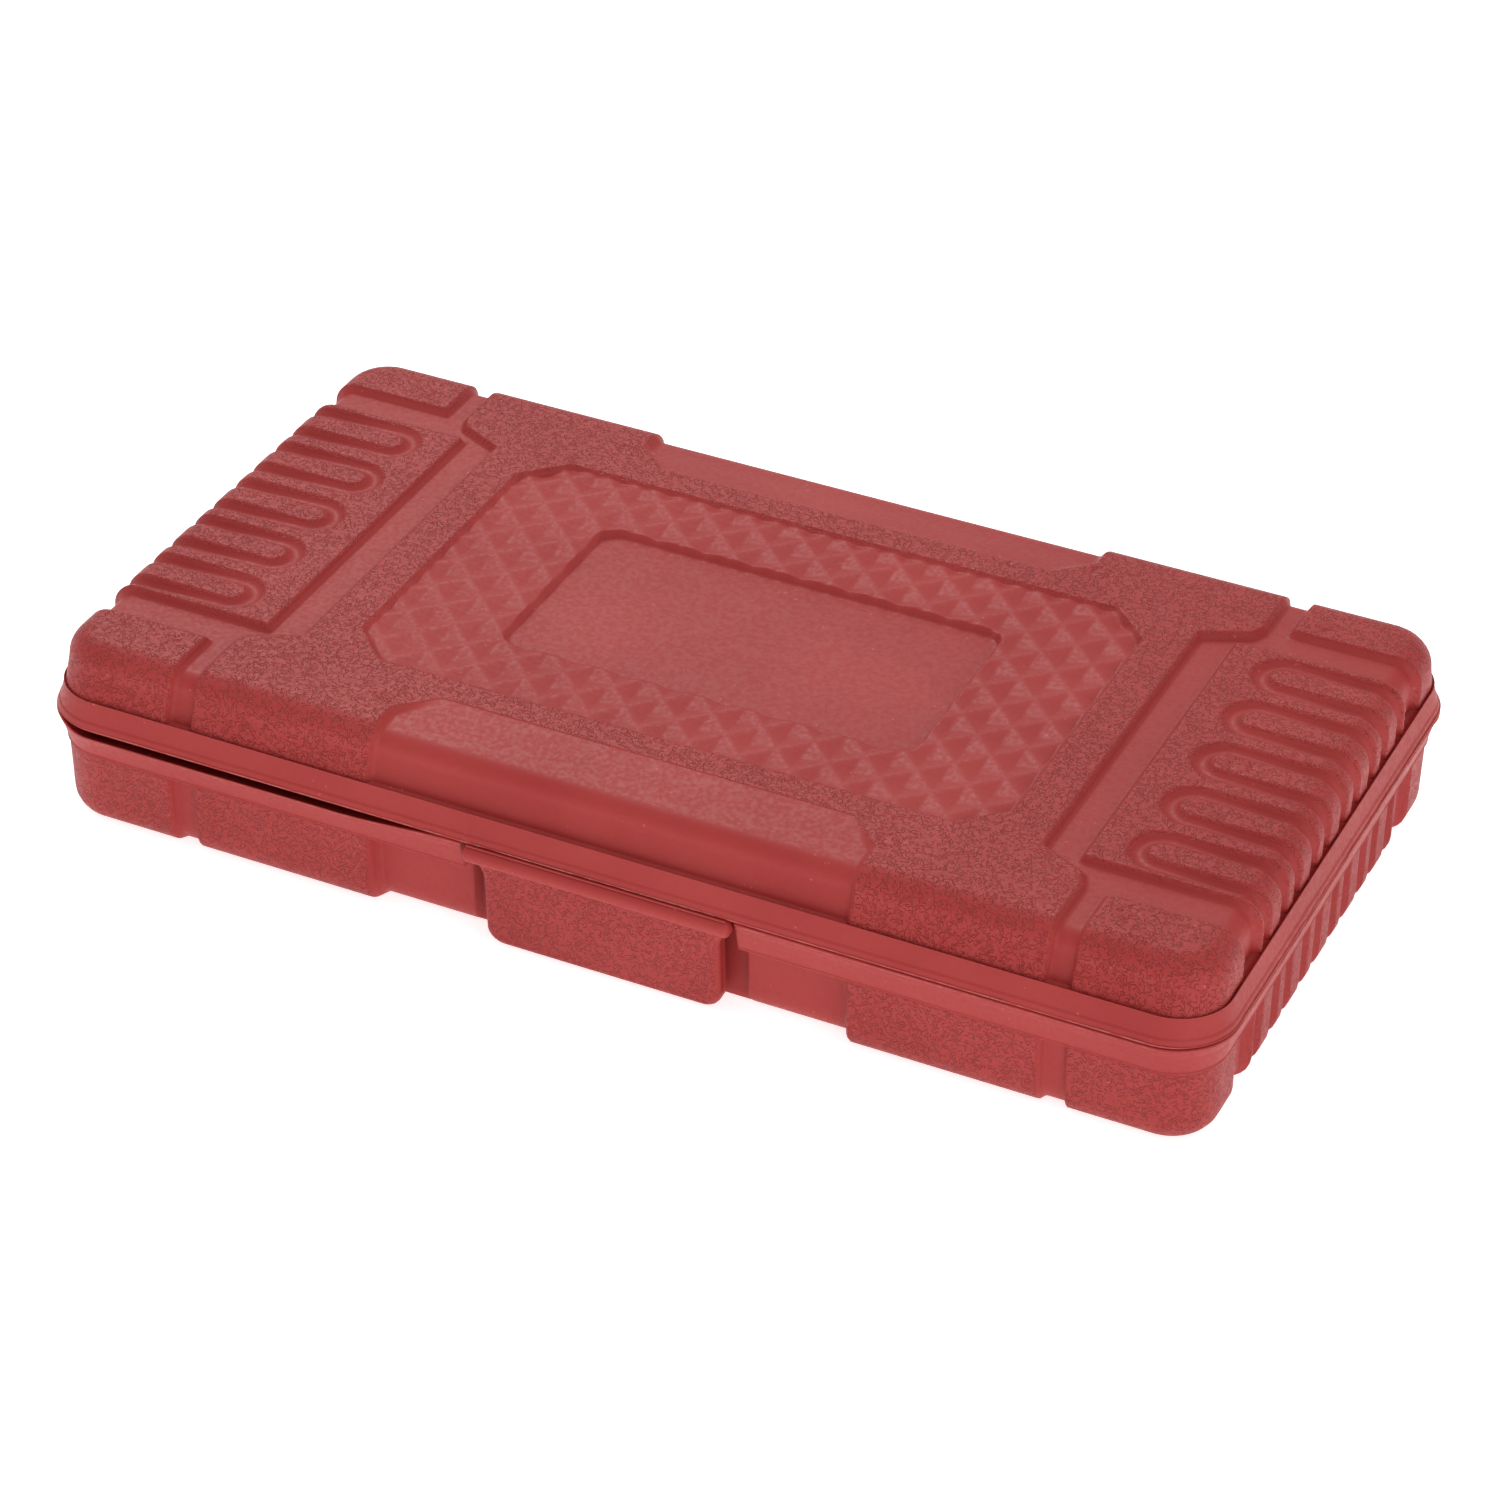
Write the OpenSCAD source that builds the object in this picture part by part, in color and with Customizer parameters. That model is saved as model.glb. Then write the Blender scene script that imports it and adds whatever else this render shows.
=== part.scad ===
// Socket wrench set in a moulded case. Millimetres, +Z up, X along the case, -Y to the latch.
// The origin is the middle of the underside of the closed case.

/* [Case outline] */
// Length over the rims
case_l = 282.6; // [282:0.1:286]
// Width over the rims, without the latch bead and the hinge webs
case_w = 156.8; // [156.8:0.1:158]
// Height of the closed case
case_h = 46.5; // [46.5:0.1:49]
// Height of the split between the base and the lid
split_z = 28.2; // [28.2:0.1:28.8]
// Corner radius of the rims
rim_r = 15; // [13:0.5:16]
// Height of the smooth band under and over the split
band_h = 7; // [6:0.5:7.5]
// Radius that rounds the walls into the top and the underside
edge_r = 6.4; // [5:0.1:6.8]
// Depth of the grooves pressed into the skin
groove_d = 2.2; // [1.5:0.1:2.4]
// Depth of the recessed finger panels in the base walls
panel_d = 3.8; // [3:0.1:4]
// Half length of the recessed finger panels
panel_hx = 57.5; // [50:0.5:60]

/* [Lid pattern] */
// Half length of the eight-sided recess
octagon_hx = 78.5; // [70:0.5:80]
// Half width of the eight-sided recess
octagon_hy = 46.5; // [40:0.5:47]
// Corner cut of the eight-sided recess
octagon_cut = 9.5; // [5:0.5:14]
// Half length of the plain window inside it
window_hx = 50; // [40:0.5:60]
// Half width of the plain window inside it
window_hy = 26.5; // [20:0.5:30]
// Distance between the looped grip grooves at each end
loop_pitch = 18.5; // [17:0.5:18.5]

/* [Latch] */
// Half length of the latch bead
latch_hx = 32; // [28:0.5:34]
// Half length of the latch flap
flap_hx = 29.3; // [26:0.1:31]
// Thickness of the latch flap
flap_t = 3.8; // [3:0.1:4]

/* [Tools] */
// Across-flats sizes of the large sockets
large_sizes = [10, 11, 12, 13, 14, 15, 16, 17, 18, 19];
// Across-flats sizes of the small sockets
small_sizes = [4, 5, 6, 7, 8, 9, 10, 11, 12, 13];
// Side of the large square drive
large_drive = 9.5; // [9.4:0.05:9.6]
// Side of the small square drive
small_drive = 6.35; // [6.3:0.05:6.4]
// Length of the large sockets
large_len = 27; // [24:0.5:28]
// Length of the small sockets
small_len = 25; // [22:0.5:26]
// Teeth of the ratchet gear
gear_teeth = 24; // [18:2:36]

/* [Hidden] */
$fn = 48;
hull_fn = 32;
edge_step = 22.5;
eps = 0.01;
split_gap = 0.4;
base_top = split_z - split_gap / 2;
lid_bottom = split_z + split_gap / 2;
rim_hx = case_l / 2;
rim_hy = case_w / 2;
wall_hx = rim_hx - 2.9;
base_open_hy = rim_hy - 3.2;
base_round_hy = rim_hy - 3.9;
lid_open_hy = rim_hy - 3.2;
lid_round_hy = rim_hy - 5.4;
wall_r = 11.3;
band_step = 0.8;
case_red = [0.67, 0.2, 0.2];
tray_red = [0.62, 0.17, 0.17];
chrome = [0.82, 0.83, 0.85];
steel = [0.55, 0.56, 0.58];
black = [0.12, 0.12, 0.13];

// Inside of the case
cavity_hx = wall_hx - 5.4;
cavity_hy = base_round_hy - 5.4;
cavity_r = 9;
floor_t = 2.4;
fit_gap = 0.2;
sheet_t = 1.4;
tray_top = 26.4;
lip_top = 29.4;
liner_bottom = 30.2;
liner_top = 41.5;
lid_cavity_top = case_h - 4.2;

// Channels, loops and finger panels, for X and Y positive
channel_in_x = 89;
channel_out_x = 98;
turn_y = 45.8;
corner_x = 107.7;
corner_y = 55.9;
branch_x = 101.5;
loop_x = 112.5;
loop_outer = 7;
loop_inner = 3.4;
lid_panel_y = 54.5;
lid_panel_cut = 8;

// Latch and hinge
recess_hx = latch_hx + 0.5;
recess_y = -(rim_hy - 9.9);
recess_wall = 1.8;
reach_y = rim_hy + 1.2;
bead_r = 1.7;
latch_axis_y = -rim_hy;
web_t = 0.5;
web_r = 1;

// Rows of tools
row_ratchet_y = 46;
row_handle_y = 14.5;
row_large_y = -14.5;
row_small_y = -46.5;
socket_z = 18.6;
small_z = 20;
ratchet_z = 22.5;
handle_z = 20;
large_neck = 17;
small_neck = 11.8;
large_gap = 2.9;
small_gap = 5.5;
play = 0.4;

// Ratchet
head_x = -110;
head_r = 16;
head_low = 16.5;
head_high = 27.1;
cover_t = 1.9;
gear_r = 9.2;
gear_low = 18.9;
gear_high = 26.5;
anvil_low = 5.4;
collar_r = 7;
stem_r = 1.2;
stem_bore_r = 1.65;
ball_z = 11;
ball_r = 1.5;
screw_y = 12.3;
ratchet_grip_x = -62;
ratchet_grip_l = 115;
pawl_x = head_x + 12.1;
neck_hy = 12;

// Spark plug socket, spinner handle, extension bar and adapter
spark_x = 92;
spark_l = 64;
spinner_x = -125;
spinner_grip_l = 83;
spinner_tip_x = 12;
bar_x = 22.5;
bar_l = 75;
adapter_x = 104;
adapter_l = 23;

// ---------- Shared shapes ----------

module rounded_rect(hx, hy, r) {
    square([2 * (hx - r), 2 * hy], center = true);
    square([2 * hx, 2 * (hy - r)], center = true);
    for (sx = [-1, 1], sy = [-1, 1])
        translate([sx * (hx - r), sy * (hy - r)]) circle(r = r);
}

module slice(hx, hy, r, z) {
    translate([0, 0, z]) linear_extrude(eps) rounded_rect(hx, hy, r, $fn = hull_fn);
}

module prism(hx, hy, r, z0, z1) {
    translate([0, 0, z0]) linear_extrude(z1 - z0) rounded_rect(hx, hy, r);
}

// Outline across the base: flat bottom, rolled lower edge, wall, ledge and flared band
module base_profile(rim, open, round) {
    roll = [[edge_r, 0], [0.45 * edge_r, 0.1 * edge_r], [0.1 * edge_r, 0.45 * edge_r], [0, edge_r]];
    polygon([
        for (p = roll) [round - p[0], p[1]],
        [open, base_top - band_h], [open + band_step, base_top - band_h], [rim, base_top],
        [-rim, base_top], [-open - band_step, base_top - band_h], [-open, base_top - band_h],
        for (i = [len(roll) - 1 : -1 : 0]) [-round + roll[i][0], roll[i][1]]
    ]);
}

module base_block() {
    intersection() {
        linear_extrude(base_top) rounded_rect(rim_hx, rim_hy, rim_r);
        translate([-rim_hx - 1, 0, 0]) rotate([90, 0, 90]) linear_extrude(2 * rim_hx + 2)
            base_profile(rim_hy, base_open_hy, base_round_hy);
        translate([0, rim_hy + 1, 0]) rotate([90, 0, 0]) linear_extrude(2 * rim_hy + 2)
            base_profile(rim_hx, wall_hx, wall_hx);
    }
}

// The lid's wall and flat face in one convex block; every face lies inset deeper than the skin.
module lid_block(inset) {
    hull() {
        slice(wall_hx - inset, lid_open_hy - inset, wall_r, lid_bottom + band_h - 1);
        for (a = [0 : edge_step : 90]) {
            tuck = inset + edge_r * (1 - cos(a));
            slice(wall_hx - tuck, lid_round_hy - tuck, max(wall_r - tuck, 2),
                  case_h - eps - inset - edge_r * (1 - sin(a)));
        }
    }
}

// Flared band from its narrow end to the rim at the split
module band(z_narrow, z_rim) {
    hull() {
        slice(wall_hx + band_step, base_open_hy + band_step, rim_r - 1, z_narrow);
        slice(rim_hx, rim_hy, rim_r, z_rim);
    }
}

// Turned profile along +X from the given point
module turned_x(x, y, z) {
    translate([x, y, z]) rotate([0, 90, 0]) rotate_extrude() children();
}

// Square bar with its length along +X
module square_bar_x(x, y, z, side, length) {
    translate([x, y - side / 2, z - side / 2]) cube([length, side, side]);
}

// ---------- Surface pattern of the case ----------

module octagon_plan() {
    polygon([for (q = [[1, 1], [-1, 1], [-1, -1], [1, -1]], swap = [0, 1])
        let (first = (q[0] * q[1] > 0) ? swap == 0 : swap == 1)
        [q[0] * (octagon_hx - (first ? 0 : octagon_cut)), q[1] * (octagon_hy - (first ? octagon_cut : 0))]]);
}

// Channel round one end pad and out to the rims, drawn for the quarter where X and Y are positive
module channel_quarter() {
    polygon([
        [channel_in_x, -eps], [channel_out_x, -eps], [channel_out_x, turn_y], [rim_hx, turn_y],
        [rim_hx, corner_y], [corner_x, corner_y], [corner_x, rim_hy], [branch_x, rim_hy],
        [branch_x, turn_y + 8.5], [branch_x - 1.5, turn_y + 5.2], [channel_in_x, turn_y]
    ]);
}

// Round-ended tongue that runs to the end of the case
module tongue_plan(r) {
    translate([loop_x, 0]) circle(r = r);
    translate([loop_x, -r]) square([rim_hx - loop_x, 2 * r]);
}

// One looped groove, open towards the end of the case
module loop_plan() {
    difference() {
        tongue_plan(loop_outer);
        tongue_plan(loop_inner);
    }
}

module loops_plan() {
    for (end = [0, 1], i = [-2 : 2])
        mirror([end, 0]) translate([0, i * loop_pitch]) loop_plan();
}

module channels_plan() {
    for (mx = [0, 1], my = [0, 1])
        mirror([mx, 0]) mirror([0, my]) channel_quarter();
}

// Finger panel at the front and back edge of the lid
module lid_panels_plan() {
    cut_hx = panel_hx - lid_panel_cut;
    cut_y = lid_panel_y + lid_panel_cut;
    for (side = [0, 1])
        mirror([0, side]) polygon([
            [-panel_hx, rim_hy], [-panel_hx, cut_y], [-cut_hx, lid_panel_y],
            [cut_hx, lid_panel_y], [panel_hx, cut_y], [panel_hx, rim_hy]
        ]);
}

// ---------- Case ----------

// Grooves down the base walls: the stubs of the lid's channels, loops and finger panels
module base_wall_cuts() {
    cut_h = base_top - band_h + 1;
    loop_middle = (loop_outer + loop_inner) / 2;
    loop_groove = loop_outer - loop_inner;
    for (end = [0, 1]) mirror([end, 0, 0]) {
        for (i = [-2 : 2], side = [-1, 1])
            translate([wall_hx - groove_d, i * loop_pitch + side * loop_middle - loop_groove / 2, -1])
                cube([2 * groove_d, loop_groove, cut_h]);
        for (side = [0, 1]) mirror([0, side, 0]) {
            translate([wall_hx - groove_d, turn_y, -1]) cube([2 * groove_d, corner_y - turn_y, cut_h]);
            translate([branch_x, base_round_hy - groove_d, -1])
                cube([corner_x - branch_x, 2 * groove_d, cut_h]);
        }
    }
    for (side = [0, 1]) mirror([0, side, 0])
        translate([-panel_hx, base_round_hy - panel_d, -1]) cube([2 * panel_hx, 2 * panel_d, cut_h]);
}

module base_shell() {
    catch_z = 15;
    catch_hx = recess_hx - 10;
    pier_hx = recess_hx + recess_wall;
    color(case_red) {
        difference() {
            base_block();
            prism(cavity_hx, cavity_hy, cavity_r, floor_t, base_top + 1);
            base_wall_cuts();
            translate([-recess_hx, -rim_hy - 1, -1])
                cube([2 * recess_hx, rim_hy + 1 + recess_y, base_top + 2]);
        }
        translate([-pier_hx, recess_y, 1]) cube([2 * pier_hx, recess_wall, base_top - 1.3]);
        translate([-catch_hx, recess_y - 1.2, catch_z]) cube([2 * catch_hx, 1.3, 2]);
    }
}

// Troughs for the tools; grow is the sheet's thickness outside them
module trough(length, r, grow, z) {
    translate([0, 0, z]) rotate([0, 90, 0]) cylinder(r = r + grow, h = length + 2 * grow, center = true);
    translate([-length / 2 - grow, -r - grow, z])
        cube([length + 2 * grow, 2 * (r + grow), tray_top + 2 - z]);
}

module well(x, y, r, z, grow) {
    translate([x, y, z - grow]) cylinder(r = r + grow, h = tray_top + 2 - z + grow);
}

module finger_trough(y, length, grow) {
    translate([0, y, 0]) translate([-length / 2 - grow, -7 - grow, 17 - grow])
        cube([length + 2 * grow, 14 + 2 * grow, tray_top]);
}

function large_d(af) = 1.18 * af + 3.6;
function small_d(af) = max(11.6, 1.22 * af + 2.2);
function large_width(i) = max(large_d(large_sizes[i]), large_neck);
function small_width(i) = max(small_d(small_sizes[i]), small_neck);
function large_left(i) = i == 0 ? 0 : large_left(i - 1) + large_width(i - 1) + large_gap;
function small_left(i) = i == 0 ? 0 : small_left(i - 1) + small_width(i - 1) + small_gap;
large_total = large_left(len(large_sizes) - 1) + large_width(len(large_sizes) - 1);
small_total = small_left(len(small_sizes) - 1) + small_width(len(small_sizes) - 1);
function large_x(i) = large_left(i) + large_width(i) / 2 - large_total / 2;
function small_x(i) = small_left(i) + small_width(i) / 2 - small_total / 2;

module pockets(grow) {
    for (i = [0 : len(large_sizes) - 1])
        translate([large_x(i), row_large_y, play]) rotate([0, 0, 90])
            trough(large_len + 1.5, large_width(i) / 2 + play, grow, socket_z);
    for (i = [0 : len(small_sizes) - 1])
        translate([small_x(i), row_small_y, play]) rotate([0, 0, 90])
            trough(small_len + 1.5, small_width(i) / 2 + play, grow, small_z);
    finger_trough(row_large_y, large_total + 2, grow);
    finger_trough(row_small_y, small_total + 2, grow);
    well(head_x, row_ratchet_y, head_r + 0.8, head_low - 0.05, grow);
    well(head_x, row_ratchet_y, 8.6, anvil_low - 0.8, grow);
    translate([-76, row_ratchet_y, 0]) trough(46, 6.4, grow, ratchet_z);
    translate([head_x + 6 - grow, row_ratchet_y - neck_hy - 0.8 - grow, head_low - grow])
        cube([28 + 2 * grow, 2 * (neck_hy + 0.8 + grow), tray_top]);
    translate([ratchet_grip_x + ratchet_grip_l / 2, row_ratchet_y, play])
        trough(ratchet_grip_l + 2, 12 + play, grow, ratchet_z);
    translate([spark_x, row_ratchet_y, play]) trough(spark_l + 1.5, 13.5 + play, grow, socket_z);
    translate([-83.5, row_handle_y, play]) trough(85, 12.5 + play, grow, handle_z);
    translate([-14, row_handle_y, play]) trough(56, 5.4, grow, handle_z);
    translate([60, row_handle_y, play]) trough(77, 8.5 + play, grow, handle_z);
    translate([115.5, row_handle_y, play]) trough(25, 8.5 + play, grow, handle_z);
}

module base_tray() {
    lip_low = 22;
    notch_hx = recess_hx + recess_wall + fit_gap;
    notch_y = recess_y + recess_wall + fit_gap;
    tray_hx = cavity_hx - fit_gap;
    tray_hy = cavity_hy - fit_gap;
    color(tray_red) difference() {
        union() {
            difference() {
                prism(tray_hx, tray_hy, cavity_r, lip_low, lip_top);
                difference() {
                    union() {
                        prism(tray_hx - sheet_t, tray_hy - sheet_t, cavity_r - sheet_t,
                              tray_top, lip_top + 1);
                        prism(tray_hx - sheet_t, tray_hy - sheet_t, cavity_r - sheet_t,
                              lip_low - 1, tray_top - sheet_t);
                    }
                    translate([-notch_hx - sheet_t, -rim_hy, 0])
                        cube([2 * (notch_hx + sheet_t), rim_hy + notch_y + sheet_t, case_h]);
                }
            }
            intersection() {
                pockets(sheet_t);
                translate([-tray_hx, -tray_hy, 0]) cube([2 * tray_hx, 2 * tray_hy, tray_top]);
            }
        }
        translate([-notch_hx, -rim_hy, 0]) cube([2 * notch_hx, rim_hy + notch_y, case_h]);
        pockets(0);
    }
}

module lid_shell() {
    color(case_red) difference() {
        union() {
            lid_block(0);
            band(lid_bottom + band_h, lid_bottom);
        }
        hull() {
            slice(cavity_hx + 1.2, cavity_hy, cavity_r, lid_bottom - 1);
            slice(cavity_hx + 1.2, cavity_hy, cavity_r, lid_cavity_top - 6);
            slice(cavity_hx - 5, cavity_hy - 6, cavity_r / 2, lid_cavity_top);
        }
        difference() {
            translate([0, 0, lid_bottom + band_h]) linear_extrude(case_h) union() {
                channels_plan();
                loops_plan();
                lid_panels_plan();
            }
            lid_block(groove_d);
        }
        translate([0, 0, case_h - 1]) linear_extrude(2) octagon_plan();
        prism(window_hx, window_hy, 4, case_h - 2.5, case_h + 1);
    }
}

module lid_liner() {
    liner_hx = cavity_hx - 0.4;
    liner_hy = cavity_hy - 0.6;
    rib_hx = 118;
    color(tray_red) {
        difference() {
            prism(liner_hx - 6, liner_hy - 7, cavity_r, liner_bottom, liner_top);
            prism(liner_hx - 6 - sheet_t, liner_hy - 7 - sheet_t, cavity_r - sheet_t,
                  liner_bottom - 1, liner_top - sheet_t);
        }
        difference() {
            prism(liner_hx, liner_hy, cavity_r, liner_bottom, liner_bottom + sheet_t);
            prism(liner_hx - 7, liner_hy - 8, cavity_r - sheet_t,
                  liner_bottom - 1, liner_bottom + 2 * sheet_t);
        }
        for (y = [row_large_y, row_small_y, row_handle_y])
            translate([-rib_hx, y - 4, liner_top - 4.5]) cube([2 * rib_hx, 8, 4.5 - sheet_t / 2]);
    }
}

// Three folded webs along the back that join the two rims
module lid_hinge_webs() {
    web_l = 56;
    web_y = reach_y - web_r;
    color(case_red) for (x = [-84, 0, 84])
        translate([x - web_l / 2, web_y, split_z]) rotate([90, 0, 90]) linear_extrude(web_l) difference() {
            union() {
                circle(r = web_r);
                translate([rim_hy - web_y, -web_r]) square([web_y - rim_hy, 2 * web_r]);
            }
            circle(r = web_r - web_t);
            translate([rim_hy - web_y - 1, -web_r + web_t]) square([web_y - rim_hy + 1, 2 * (web_r - web_t)]);
            translate([rim_hy - web_y - 3, -3]) square([3, 6]);
        }
}

module latch_flap() {
    bead_z = base_top - bead_r;
    bead_y = -reach_y + bead_r;
    flap_low = 0.9;
    flap_h = bead_z - flap_low;
    flap_lean = 5;
    flap_r = 4;
    hook_z = 12;
    color(case_red) union() {
        translate([-latch_hx, bead_y, bead_z]) rotate([90, 0, 90]) linear_extrude(2 * latch_hx) {
            circle(r = bead_r);
            translate([0, -bead_r]) square([2.4, 2 * bead_r]);
        }
        translate([0, bead_y + 0.6, bead_z]) rotate([flap_lean, 0, 0]) rotate([90, 0, 0])
            translate([0, 0, -flap_t]) linear_extrude(flap_t) {
                translate([-flap_hx, -flap_h + flap_r]) square([2 * flap_hx, flap_h - flap_r]);
                translate([-flap_hx + flap_r, -flap_h]) square([2 * (flap_hx - flap_r), flap_r * 2]);
                for (side = [-1, 1])
                    translate([side * (flap_hx - flap_r), -flap_h + flap_r]) circle(r = flap_r);
            }
        translate([-20, recess_y - 4, hook_z]) cube([40, 4 - 1.5, 2.2]);
    }
}

module latch_hinge_web() {
    color(case_red)
        translate([-latch_hx + 1, latch_axis_y - 0.2, base_top])
            cube([2 * (latch_hx - 1), web_t, split_gap]);
}

// ---------- Ratchet ----------

module at_head(z = 0) {
    translate([head_x, row_ratchet_y, z]) children();
}

module ratchet_body() {
    neck_x = head_x + 10;
    shank_x = -78;
    shank_r = 5;
    color(chrome) difference() {
        union() {
            at_head(head_low) cylinder(r = head_r, h = head_high - head_low, $fn = 96);
            translate([0, row_ratchet_y, head_low + 1]) linear_extrude(head_high - head_low - 2)
                polygon([[neck_x, -neck_hy], [shank_x, -shank_r], [shank_x + 4, -shank_r],
                         [shank_x + 4, shank_r], [shank_x, shank_r], [neck_x, neck_hy]]);
            translate([shank_x, row_ratchet_y, ratchet_z]) rotate([0, 90, 0])
                cylinder(r = shank_r, h = ratchet_grip_x + ratchet_grip_l - 12 - shank_x);
        }
        at_head(gear_low - 0.3) cylinder(r = gear_r + 0.4, h = case_h);
        at_head() cylinder(r = collar_r + 0.3, h = gear_low);
        at_head() translate([8, -6.2, 19.4]) cube([6.4, 12.4, 20]);
        for (side = [-1, 1])
            at_head(20) translate([0, side * screw_y, 0]) cylinder(r = 1.25, h = 20);
    }
}

module ratchet_grip() {
    r = 12;
    bore = 5.02;
    length = ratchet_grip_l;
    color(case_red) difference() {
        turned_x(ratchet_grip_x, row_ratchet_y, ratchet_z) polygon([
            [bore, 0], [9, 0], [10.6, 1.6], [10.6, 7], [8.6, 12], [9.2, 20], [11.2, 34], [r, 52],
            [11.6, 72], [10.2, 88], [11.4, 98], [r, 104], [r, length - 3], [9, length], [0, length],
            [0, length - 10], [bore, length - 11.5]
        ]);
        for (i = [0 : 5])
            translate([ratchet_grip_x + 24, row_ratchet_y, ratchet_z]) rotate([60 * i + 30, 0, 0])
                translate([0, 0, r + 1.6]) rotate([0, 90, 0]) cylinder(r = 3.2, h = 62);
    }
}

module ratchet_cover() {
    color(steel) difference() {
        at_head(head_high) cylinder(r = head_r - 1, h = cover_t, $fn = 96);
        at_head() cylinder(r = 5.3, h = case_h);
        for (side = [-1, 1])
            at_head() translate([0, side * screw_y, 0]) cylinder(r = 1.25, h = case_h);
    }
}

module ratchet_cover_screws() {
    screw_head_h = 1.1;
    color(steel) for (side = [-1, 1]) difference() {
        at_head() translate([0, side * screw_y, 0]) {
            translate([0, 0, head_high + cover_t]) cylinder(r = 1.9, h = screw_head_h);
            translate([0, 0, 21]) cylinder(r = 1.2, h = head_high + cover_t - 21 + eps);
        }
        at_head(head_high + cover_t + screw_head_h) translate([0, side * screw_y, 0]) {
            cube([2.4, 0.6, 1], center = true);
            cube([0.6, 2.4, 1], center = true);
        }
    }
}

// Gear, collar, square drive and top boss in one piece, bored for the release stem and its ball
module ratchet_drive_gear() {
    root_r = gear_r - 0.9;
    color(steel) difference() {
        union() {
            at_head(gear_low) linear_extrude(gear_high - gear_low)
                polygon([for (i = [0 : gear_teeth - 1], k = [0 : 3])
                    let (a = 360 / gear_teeth * (i + k / 4), r = (k == 1 || k == 2) ? gear_r : root_r)
                    [r * cos(a), r * sin(a)]]);
            at_head(head_low + 0.2) cylinder(r = collar_r, h = gear_low - head_low - 0.2 + eps);
            at_head(anvil_low) translate([-large_drive / 2, -large_drive / 2, 0])
                cube([large_drive, large_drive, head_low - anvil_low + 0.3]);
            at_head(gear_high - eps) cylinder(r = 5, h = 2.1);
        }
        at_head(7.2) cylinder(r = stem_bore_r, h = case_h);
        at_head(ball_z) rotate([0, 90, 0]) cylinder(r = ball_r + 0.3, h = large_drive);
    }
}

module ratchet_pawl() {
    rest_tilt = -5;
    color(steel) translate([pawl_x, row_ratchet_y, 19.8]) rotate([0, 0, rest_tilt]) {
        difference() {
            translate([-1.5, -4.6, 0]) cube([3, 9.2, 6]);
            for (side = [-1, 1])
                translate([-1.9, side * 2.2, -1]) cylinder(r = 1, h = 8);
        }
    }
}

module ratchet_pawl_spring() {
    color(steel) translate([pawl_x + 1.55, row_ratchet_y - 5.45, 20.5]) difference() {
        cylinder(r = 0.7, h = 4.5);
        translate([0, 0, -1]) cylinder(r = 0.4, h = 7);
    }
}

module ratchet_reversing_lever() {
    low = head_high + cover_t + 0.2;
    rest_angle = -20;
    color(black) difference() {
        union() {
            at_head(low) cylinder(r = 8.6, h = 2.6);
            at_head(low) rotate([0, 0, rest_angle]) linear_extrude(2) {
                polygon([[4, -5.5], [14, -3.2], [14, 3.2], [4, 5.5]]);
                translate([14, 0]) circle(r = 3.2);
            }
        }
        at_head() cylinder(r = 3.6, h = case_h);
    }
}

module ratchet_release_button() {
    disc_z = 30.4;
    color(chrome) union() {
        at_head(disc_z) cylinder(r = 3.3, h = 2.2);
        at_head(disc_z + 2.2) cylinder(r1 = 3.3, r2 = 2.6, h = 0.6);
        at_head(9) cylinder(r = stem_r, h = disc_z - 9 + eps);
    }
}

module ratchet_button_spring() {
    color(steel) at_head(20) difference() {
        cylinder(r = stem_bore_r - 0.05, h = 8);
        translate([0, 0, -1]) cylinder(r = stem_r + 0.05, h = 10);
    }
}

module ratchet_drive_ball() {
    color(steel) at_head(ball_z) translate([3.9, 0, 0]) sphere(r = ball_r);
}

// ---------- Spinner handle, extension bar and adapter ----------

module ball_seat(x, y, z, side) {
    translate([x, y, z]) cylinder(r = 1.25, h = side);
}

module locking_ball(x, y, z, side) {
    color(steel) translate([x, y, z + side / 2 - 0.7]) sphere(r = 1.2);
}

module spinner_grip() {
    r = 12.5;
    color(case_red) difference() {
        turned_x(spinner_x, row_handle_y, handle_z) polygon([
            [0, 0], [8, 0], [11.5, 2], [r, 6], [r, 30], [11.4, 46], [9.2, 58], [8.2, 66], [9.4, 72],
            [9.4, spinner_grip_l - 2], [7.4, spinner_grip_l], [3.22, spinner_grip_l], [3.22, 40], [0, 40]
        ]);
        for (i = [0 : 5])
            translate([spinner_x + 8, row_handle_y, handle_z]) rotate([60 * i, 0, 0])
                translate([0, 0, r + 1.8]) rotate([0, 90, 0]) cylinder(r = 3.4, h = 48);
    }
}

module spinner_shank() {
    square_l = 7.5;
    shank_x = spinner_x + 40.1;
    color(chrome) difference() {
        union() {
            translate([shank_x, row_handle_y, handle_z]) rotate([0, 90, 0])
                cylinder(r = 3.2, h = spinner_tip_x - square_l - shank_x);
            turned_x(spinner_tip_x - square_l - 6, row_handle_y, handle_z)
                polygon([[0, 0], [3.2, 0], [4.6, 1.4], [4.6, 5.2], [3.8, 6], [0, 6]]);
            square_bar_x(spinner_tip_x - square_l - 1, row_handle_y, handle_z, small_drive, square_l + 1);
        }
        ball_seat(spinner_tip_x - 3.6, row_handle_y, handle_z, small_drive);
    }
}

module spinner_ball() {
    locking_ball(spinner_tip_x - 3.6, row_handle_y, handle_z, small_drive);
}

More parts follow.
